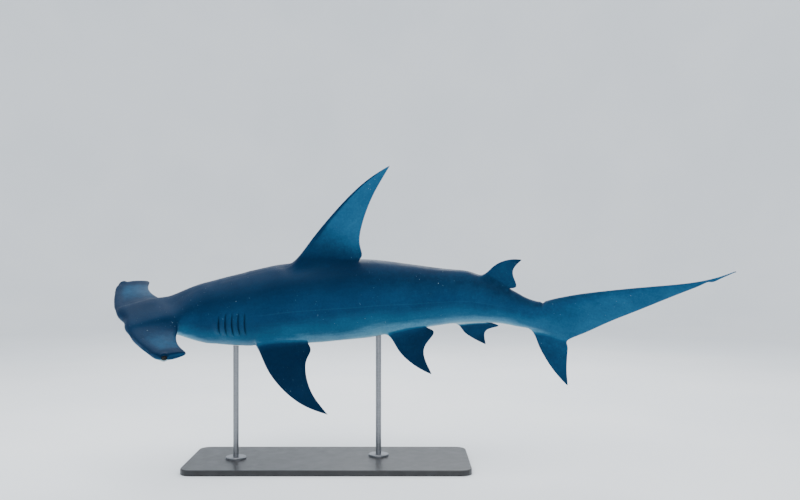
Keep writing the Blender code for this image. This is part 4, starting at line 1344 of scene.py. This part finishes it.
class Finish:
    """A new node material, with short ways to add and join its nodes."""

    def __init__(self, name):
        self.material = bpy.data.materials.new(name)
        self.material.use_nodes = True
        self.tree = self.material.node_tree
        self.shader = self.tree.nodes["Principled BSDF"]

    def set(self, socket, value):
        """Links a socket to a node's output, or gives it a value."""
        if isinstance(value, bpy.types.NodeSocket):
            self.tree.links.new(value, socket)
        else:
            socket.default_value = value

    def add(self, kind, inputs=(), output=0, **settings):
        """Adds a node, sets or links its inputs, and gives one of its outputs."""
        node = self.tree.nodes.new("ShaderNode" + kind)
        for name, value in settings.items():
            setattr(node, name, value)
        for name, value in dict(inputs).items():
            self.set(node.inputs[name], value)
        return node.outputs[output]

    def finish(self, **inputs):
        """Sets inputs of the shader, named with underscores for spaces."""
        for name, value in inputs.items():
            self.set(self.shader.inputs[name.replace("_", " ")], value)

    def ramp(self, factor, *stops):
        """A soft ramp of (place, colour) stops."""
        node = self.tree.nodes.new("ShaderNodeValToRGB")
        node.color_ramp.interpolation = "EASE"
        for _ in range(len(stops) - 2):
            node.color_ramp.elements.new(0.5)
        for element, (place, colour) in zip(node.color_ramp.elements, stops):
            element.position = place
            element.color = colour
        self.set(node.inputs["Fac"], factor)
        return node.outputs["Color"]

    def math(self, operation, a, b=0.0, c=0.0):
        node = self.tree.nodes.new("ShaderNodeMath")
        node.operation = operation
        for socket, value in zip(node.inputs, (a, b, c)):
            self.set(socket, value)
        return node.outputs[0]

    def between(self, value, low, high, to_low=0.0, to_high=1.0):
        """Maps a value softly from one range to another, and no further."""
        return self.add("MapRange", {
            "Value": value, "From Min": low, "From Max": high, "To Min": to_low, "To Max": to_high,
        }, interpolation_type="SMOOTHSTEP")

    def mix(self, factor, a, b, blend="MIX"):
        node = self.tree.nodes.new("ShaderNodeMix")
        node.data_type = "RGBA"
        node.blend_type = blend
        for socket, value in zip((node.inputs[0], node.inputs[6], node.inputs[7]), (factor, a, b)):
            self.set(socket, value)
        return node.outputs[2]

    def noise(self, place, scale, detail=3.0, roughness=0.5):
        return self.add("TexNoise", {
            "Vector": place, "Scale": scale, "Detail": detail, "Roughness": roughness,
        })

    def wavering(self, value, amount, *noise):
        """Adds to a value a noise that swings round 0 by about this amount."""
        swing = self.math("SUBTRACT", self.noise(*noise), 0.5)
        return self.math("MULTIPLY_ADD", swing, amount, value)

    def cells(self, place, scale, output=0):
        """Distance to the middle of the nearest cell, or that cell's colour as output 1."""
        return self.add("TexVoronoi", {"Vector": place, "Scale": scale}, output=output)

    def stretched(self, place, *scale):
        return self.add("Mapping", {"Vector": place, "Scale": scale})

    def bump(self, height, strength, distance, below=None):
        inputs = {"Height": height, "Strength": strength, "Distance": distance}
        if below is not None:
            inputs["Normal"] = below
        return self.add("Bump", inputs)

    def attribute(self, name, output=2):
        """A number stored in the mesh, or a vector as output 1."""
        return self.add("Attribute", output=output, attribute_name=name)

    def object_place(self):
        """The Object coordinates of a point."""
        return self.add("TexCoord", output=3)


# %% [markdown]
# ## Colours of the hide
#
# The photograph shows a dark blue back, a teal flank that lightens downwards, and a narrow pale
# strip along the belly. The fins in shadow are darkest. Sea water takes the red out of every
# colour, so the paints here are the photograph's own tones with only a little of the red put back,
# and the sheen is tinted as the water tints it.

# %% Mix the colours from back to belly
BACK_COLOUR = paint(6, 30, 56)
SHOULDER_COLOUR = paint(13, 51, 83)
FLANK_COLOUR = paint(30, 79, 109)
LOW_FLANK_COLOUR = paint(70, 120, 145)
STRIP_COLOUR = paint(94, 148, 170)
BELLY_COLOUR = paint(180, 202, 206)
# Paler panels, and painted light on the tops of the hammer.
PALE_AND_PAINTED_LIGHT_COLOUR = paint(38, 92, 126)
# Dusky fins and pores, and painted shade on the fins below the body and along the hammer's front edge.
DUSK_AND_SHADE_COLOUR = paint(6, 27, 52)
FLECK_COLOUR = paint(176, 206, 212)
LINE_COLOUR = paint(70, 120, 142)
# Painted shade in the gill slits, the mouth, the nostrils and the eye sockets.
HOLLOW_SHADE_COLOUR = paint(8, 14, 22)
SHEEN_TINT = paint(72, 166, 208)


def countershading(finish, place, shade):
    """Dark above and pale below, with a border that wavers and frays along the body."""
    shaded = finish.wavering(shade, 0.12, finish.stretched(place, 0.6, 1, 1), 8, 5)
    shaded = finish.wavering(shaded, 0.09, finish.stretched(place, 0.16, 1, 1), 60, 4, 0.65)
    return finish.ramp(
        shaded, (0.16, BACK_COLOUR), (0.44, SHOULDER_COLOUR), (0.61, FLANK_COLOUR),
        (0.70, LOW_FLANK_COLOUR), (0.78, STRIP_COLOUR), (0.95, BELLY_COLOUR),
    )


def mottled(finish, place, colour):
    """Clouds a hand wide and freckles a few millimetres wide, both faint."""
    clouds = finish.ramp(
        finish.noise(place, 4.5, 6, 0.6), (0.36, (0.80, 0.84, 0.88, 1)), (0.66, (1.12, 1.08, 1.05, 1)),
    )
    freckles = finish.ramp(
        finish.noise(place, 90, 3, 0.65), (0.32, (0.84, 0.87, 0.90, 1)), (0.68, (1.12, 1.09, 1.07, 1)),
    )
    colour = finish.mix(1.0, colour, clouds, "MULTIPLY")
    return finish.mix(0.8, colour, freckles, "MULTIPLY")


# %% [markdown]
# ## Marks on the hide
#
# A wild shark is never spotless. Pale flecks and a few short scratches lie on its head and flanks,
# the sense pores of the hammer are dark pinpricks, and the lateral line is a faint thread along the
# flank. Each mark is a mask. The peaks of a fine noise give ragged flecks. A Voronoi cell gives a
# dot, and the cell's colour says by chance whether it has one.

# %% Masks for flecks, scratches, pores and the lateral line
LINE_PLACE = 0.455


def flecks(finish, place):
    """A mask of ragged flecks a few millimetres wide, in loose groups."""
    small = finish.between(finish.noise(place, 110, 1.5, 0.6), 0.715, 0.80)
    return finish.math("MULTIPLY", small, finish.between(finish.noise(place, 5, 2), 0.46, 0.58))


def dots(finish, place, scale, radius, share):
    """A mask of round dots, radius in metres, in a share of the cells of a Voronoi pattern."""
    chance = finish.add("SeparateColor", {"Color": finish.cells(place, scale, 1)})
    dot = finish.between(finish.cells(place, scale), radius * scale * 0.7, radius * scale, 1.0, 0.0)
    return finish.math("MULTIPLY", dot, finish.between(chance, 1 - share, 1.02 - share))


def scratches(finish, place):
    """A mask of a few short, thin, slanting lines."""
    slanted = finish.add("Mapping", {"Vector": place, "Rotation": (0, 0.5, 0.3), "Scale": (0.09, 1, 1)})
    return dots(finish, slanted, 9, 0.0022, 0.30)


def lateral_line(finish, place, turn):
    """A mask of the thread that runs along the flank from the gills to the tail."""
    turn = finish.wavering(turn, 0.02, place, 3, 2)
    away = finish.math("ABSOLUTE", finish.math("SUBTRACT", turn, LINE_PLACE))
    x = finish.add("SeparateXYZ", {"Vector": place})
    along = finish.math("MULTIPLY", finish.between(x, 0.66, 0.80), finish.between(x, 2.1, 2.35, 1.0, 0.0))
    return finish.math("MULTIPLY", finish.between(away, 0.0022, 0.0055, 1.0, 0.0), along)


def pores(finish, place):
    """A mask of the sense pores, thick on the hammer and gone behind the head."""
    x = finish.add("SeparateXYZ", {"Vector": place})
    on_hammer = finish.between(x, 0.24, 0.36, 1.0, 0.0)
    return finish.math("MULTIPLY", dots(finish, place, 95, 0.0016, 0.6), on_hammer)


# %% [markdown]
# ## Put the hide together
#
# The colours go on in layers, as a painter of models lays them: countershading, pale panels with
# painted light on the tops of the hammer and painted shade along its front edge, dusky fins that are
# partly painted shade, clouds and freckles, the marks, and last the painted shade in the hollows. The
# skin teeth are a bump of tiny cells, the fins have faint rays under the skin, and the roughness
# drifts, so the light breaks up as it does on wet leather.

# %% Mix the hide
def hide_finish():
    finish = Finish("shark_hide")
    place, fin_place = (finish.attribute(name, output=1) for name in ("straight", "fin_place"))
    shade, turn, dusk_and_painted_shade, tone, painted_hollow_shade = (
        finish.attribute(name) for name in ("shade", "round", "dusk_and_painted_shade", "tone", "painted_hollow_shade")
    )
    fine = (place, 38, 4, 0.65)
    colour = countershading(finish, place, shade)
    # Paler panels with painted light on the tops of the hammer; darker panels with painted shade along its
    # front edge.
    tone = finish.wavering(tone, 0.35, *fine)
    colour = finish.mix(finish.between(tone, 0.12, 1.0, 0.0, 0.85), colour, PALE_AND_PAINTED_LIGHT_COLOUR)
    colour = finish.mix(finish.between(tone, -0.12, -0.9, 0.0, 0.75), colour, DUSK_AND_SHADE_COLOUR)
    # Dusky fins, partly painted shade on the fins that hang below the body.
    dusk_and_painted_shade = finish.wavering(dusk_and_painted_shade, 0.30, *fine)
    colour = finish.mix(finish.between(dusk_and_painted_shade, 0.1, 1.0, 0.0, 0.92), colour, DUSK_AND_SHADE_COLOUR)
    colour = mottled(finish, place, colour)
    line = lateral_line(finish, place, turn)
    colour = finish.mix(finish.math("MULTIPLY", line, 0.06), colour, LINE_COLOUR)
    colour = finish.mix(finish.math("MULTIPLY", pores(finish, place), 0.7), colour, DUSK_AND_SHADE_COLOUR)
    marks = finish.math("MAXIMUM", flecks(finish, place), scratches(finish, place))
    marks = finish.math("MULTIPLY", marks, finish.between(shade, 0.70, 0.78, 0.36, 0.0))
    colour = finish.mix(marks, colour, FLECK_COLOUR)
    # Painted shade in the hollows, over all the rest.
    colour = finish.mix(painted_hollow_shade, colour, HOLLOW_SHADE_COLOUR)
    rays = finish.noise(finish.stretched(fin_place, 42, 1.6, 1), 1.0, 2, 0.4)
    normal = finish.bump(finish.cells(place, 560), 0.30, 0.0006)
    normal = finish.bump(finish.noise(place, 26, 5, 0.6), 0.18, 0.0012, normal)
    normal = finish.bump(rays, 0.5, 0.0016, normal)
    normal = finish.bump(line, 0.25, 0.0005, normal)
    finish.finish(
        Base_Color=colour,
        Roughness=finish.between(finish.noise(place, 14, 5, 0.6), 0.3, 0.7, 0.44, 0.56),
        Specular_IOR_Level=0.15, Specular_Tint=SHEEN_TINT, Normal=normal,
    )
    return finish.material


skin.data.materials.clear()
skin.data.materials.append(hide_finish())
alone(skin)
bpy.ops.object.shade_smooth()
FLESH = [name for name in frame["nodes"] if not name.startswith(("eye", "stand"))]
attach(skin, "root")
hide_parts(*FLESH)
print("the skin stands for", len(FLESH), "parts")

# %% [markdown]
# ## The eyes' colours
#
# From the middle outwards: a black pupil, a thin pale ring, a dark iris with fine streaks, and a
# grey rim that goes under the lid. The surface is wet and clear, so it is the one glossy thing on
# the animal.

# %% Colour the eyes
def eye_finish():
    finish = Finish("dark_eye")
    angle = finish.attribute("from_pupil")
    place = finish.attribute("iris_place", output=1)
    angle = finish.wavering(angle, 0.06, place, 9, 4, 0.7)
    colour = finish.ramp(
        angle, (0.20, paint(2, 2, 3)), (0.225, paint(58, 60, 54)), (0.26, paint(20, 21, 21)),
        (0.46, paint(8, 10, 13)), (0.56, paint(24, 30, 36)),
    )
    finish.finish(Base_Color=colour, Roughness=0.08, Specular_IOR_Level=0.12)
    return finish.material


EYE_FINISH = eye_finish()
for node, eye in eyes.items():
    eye.data.materials.append(EYE_FINISH)
    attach(eye, "root")
    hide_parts(node)

# %% [markdown]
# ## The stand
#
# A museum's stand should be sturdy and easy to overlook. The base is wood under black satin lacquer,
# whose grain still shows as a faint relief, and the rods are brushed steel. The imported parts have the
# right shape already, so only their finish is new.

# %% Finish the stand
def lacquer_finish():
    finish = Finish("black_satin_lacquer")
    place = finish.object_place()
    dust = finish.noise(place, 18, 4)
    grain = finish.noise(finish.stretched(place, 3, 90, 90), 1.0, 5, 0.6)
    finish.finish(
        Base_Color=finish.ramp(dust, (0.3, paint(20, 20, 22)), (0.8, paint(34, 34, 37))),
        Roughness=finish.math("MULTIPLY_ADD", dust, 0.2, 0.24),
        Normal=finish.bump(grain, 0.12, 0.0006),
    )
    return finish.material


def steel_finish():
    finish = Finish("brushed_steel")
    place = finish.object_place()
    streaks = finish.noise(finish.stretched(place, 40, 40, 1400), 1.0, 4)
    finish.finish(
        Base_Color=finish.ramp(streaks, (0.3, paint(112, 114, 118)), (0.7, paint(138, 140, 144))),
        Metallic=1.0, Roughness=finish.math("MULTIPLY_ADD", streaks, 0.14, 0.26),
        Normal=finish.bump(streaks, 0.10, 0.0002),
    )
    return finish.material


def dress(node, material):
    """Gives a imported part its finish."""
    part = frame["nodes"][node]
    part.data.materials.clear()
    part.data.materials.append(material)


dress("stand_base", lacquer_finish())
STEEL_FINISH = steel_finish()
for name in ("stand_rod_front", "stand_rod_rear"):
    dress(name, STEEL_FINISH)

# %% [markdown]
# ## The studio
#
# A museum piece is photographed on a pale floor that curves up all round, under large soft lights.
# The sweep is a disc: its rim is extruded upwards, and the fold at its foot is rounded by a bevel,
# so no corner or horizon shows from any side.

# %% Floor and backdrop
FLOOR_RADIUS = 13.0
BACKDROP_HEIGHT = 9.0
FOLD = 4.0

bpy.ops.object.select_all(action="DESELECT")
bpy.ops.mesh.primitive_circle_add(vertices=96, radius=FLOOR_RADIUS, fill_type="NGON")
floor = bpy.context.active_object
floor.name = "studio_sweep"
bpy.ops.object.mode_set(mode="EDIT")
sweep = bmesh.from_edit_mesh(floor.data)
pick(sweep, ())
for edge in sweep.edges:
    edge.select_set(True)
bpy.ops.mesh.extrude_region_move(TRANSFORM_OT_translate={"value": (0, 0, BACKDROP_HEIGHT)})
sweep = bmesh.from_edit_mesh(floor.data)
pick(sweep, ())
for edge in sweep.edges:
    if all(v.co.z < 0.01 for v in edge.verts):
        edge.select_set(True)
bpy.ops.mesh.bevel(offset=FOLD, segments=20)
bpy.ops.object.mode_set(mode="OBJECT")
bpy.ops.object.shade_smooth()


def sweep_finish():
    finish = Finish("pale_sweep")
    place = finish.object_place()
    clouds = finish.noise(place, 0.6, 2)
    finish.finish(
        Base_Color=finish.ramp(clouds, (0.3, paint(232, 235, 238)), (0.7, paint(238, 240, 242))),
        Roughness=0.85,
    )
    return finish.material


floor.data.materials.append(sweep_finish())
print("floor and backdrop:", len(floor.data.polygons), "faces")

# %% [markdown]
# ## The lights
#
# The photograph is lit from above, as the sea is. A large soft light overhead does the same here,
# a weaker one by the camera opens the shadows, and a third from behind draws the line of the back.

# %% Three soft lights
LIT_SPOT = (0.3, 0, 0.9)
# Place, width in metres and power in watts.
LIGHTS = (
    ("key_light", (-1.2, -0.8, 5.2), 4.5, 220),
    ("fill_light", (1.5, -6.0, 2.5), 4.0, 90),
    ("back_light", (1.0, 4.0, 4.6), 3.5, 200),
)


def add_light(name, place, size, power):
    """A large square light that looks at the middle of the shark."""
    aim = (Vector(LIT_SPOT) - Vector(place)).to_track_quat("-Z", "Y").to_euler()
    bpy.ops.object.light_add(type="AREA", location=place, rotation=aim)
    light = bpy.context.active_object
    light.name = name
    light.data.shape = "SQUARE"
    light.data.size = size
    light.data.energy = power


bpy.ops.object.select_all(action="DESELECT")
for row in LIGHTS:
    add_light(*row)
world = bpy.data.worlds.new("studio_air")
bpy.context.scene.world = world
world.use_nodes = True
air = world.node_tree.nodes["Background"]
air.inputs["Color"].default_value = paint(236, 242, 248)
air.inputs["Strength"].default_value = 1.5
print("lights:", [row[0] for row in LIGHTS])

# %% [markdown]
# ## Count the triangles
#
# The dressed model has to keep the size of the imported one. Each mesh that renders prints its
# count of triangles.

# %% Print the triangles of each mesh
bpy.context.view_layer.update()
for item in bpy.data.objects:
    if item.type == "MESH" and not item.hide_render:
        print(item.name, "triangles:", sum(len(p.vertices) - 2 for p in item.data.polygons))
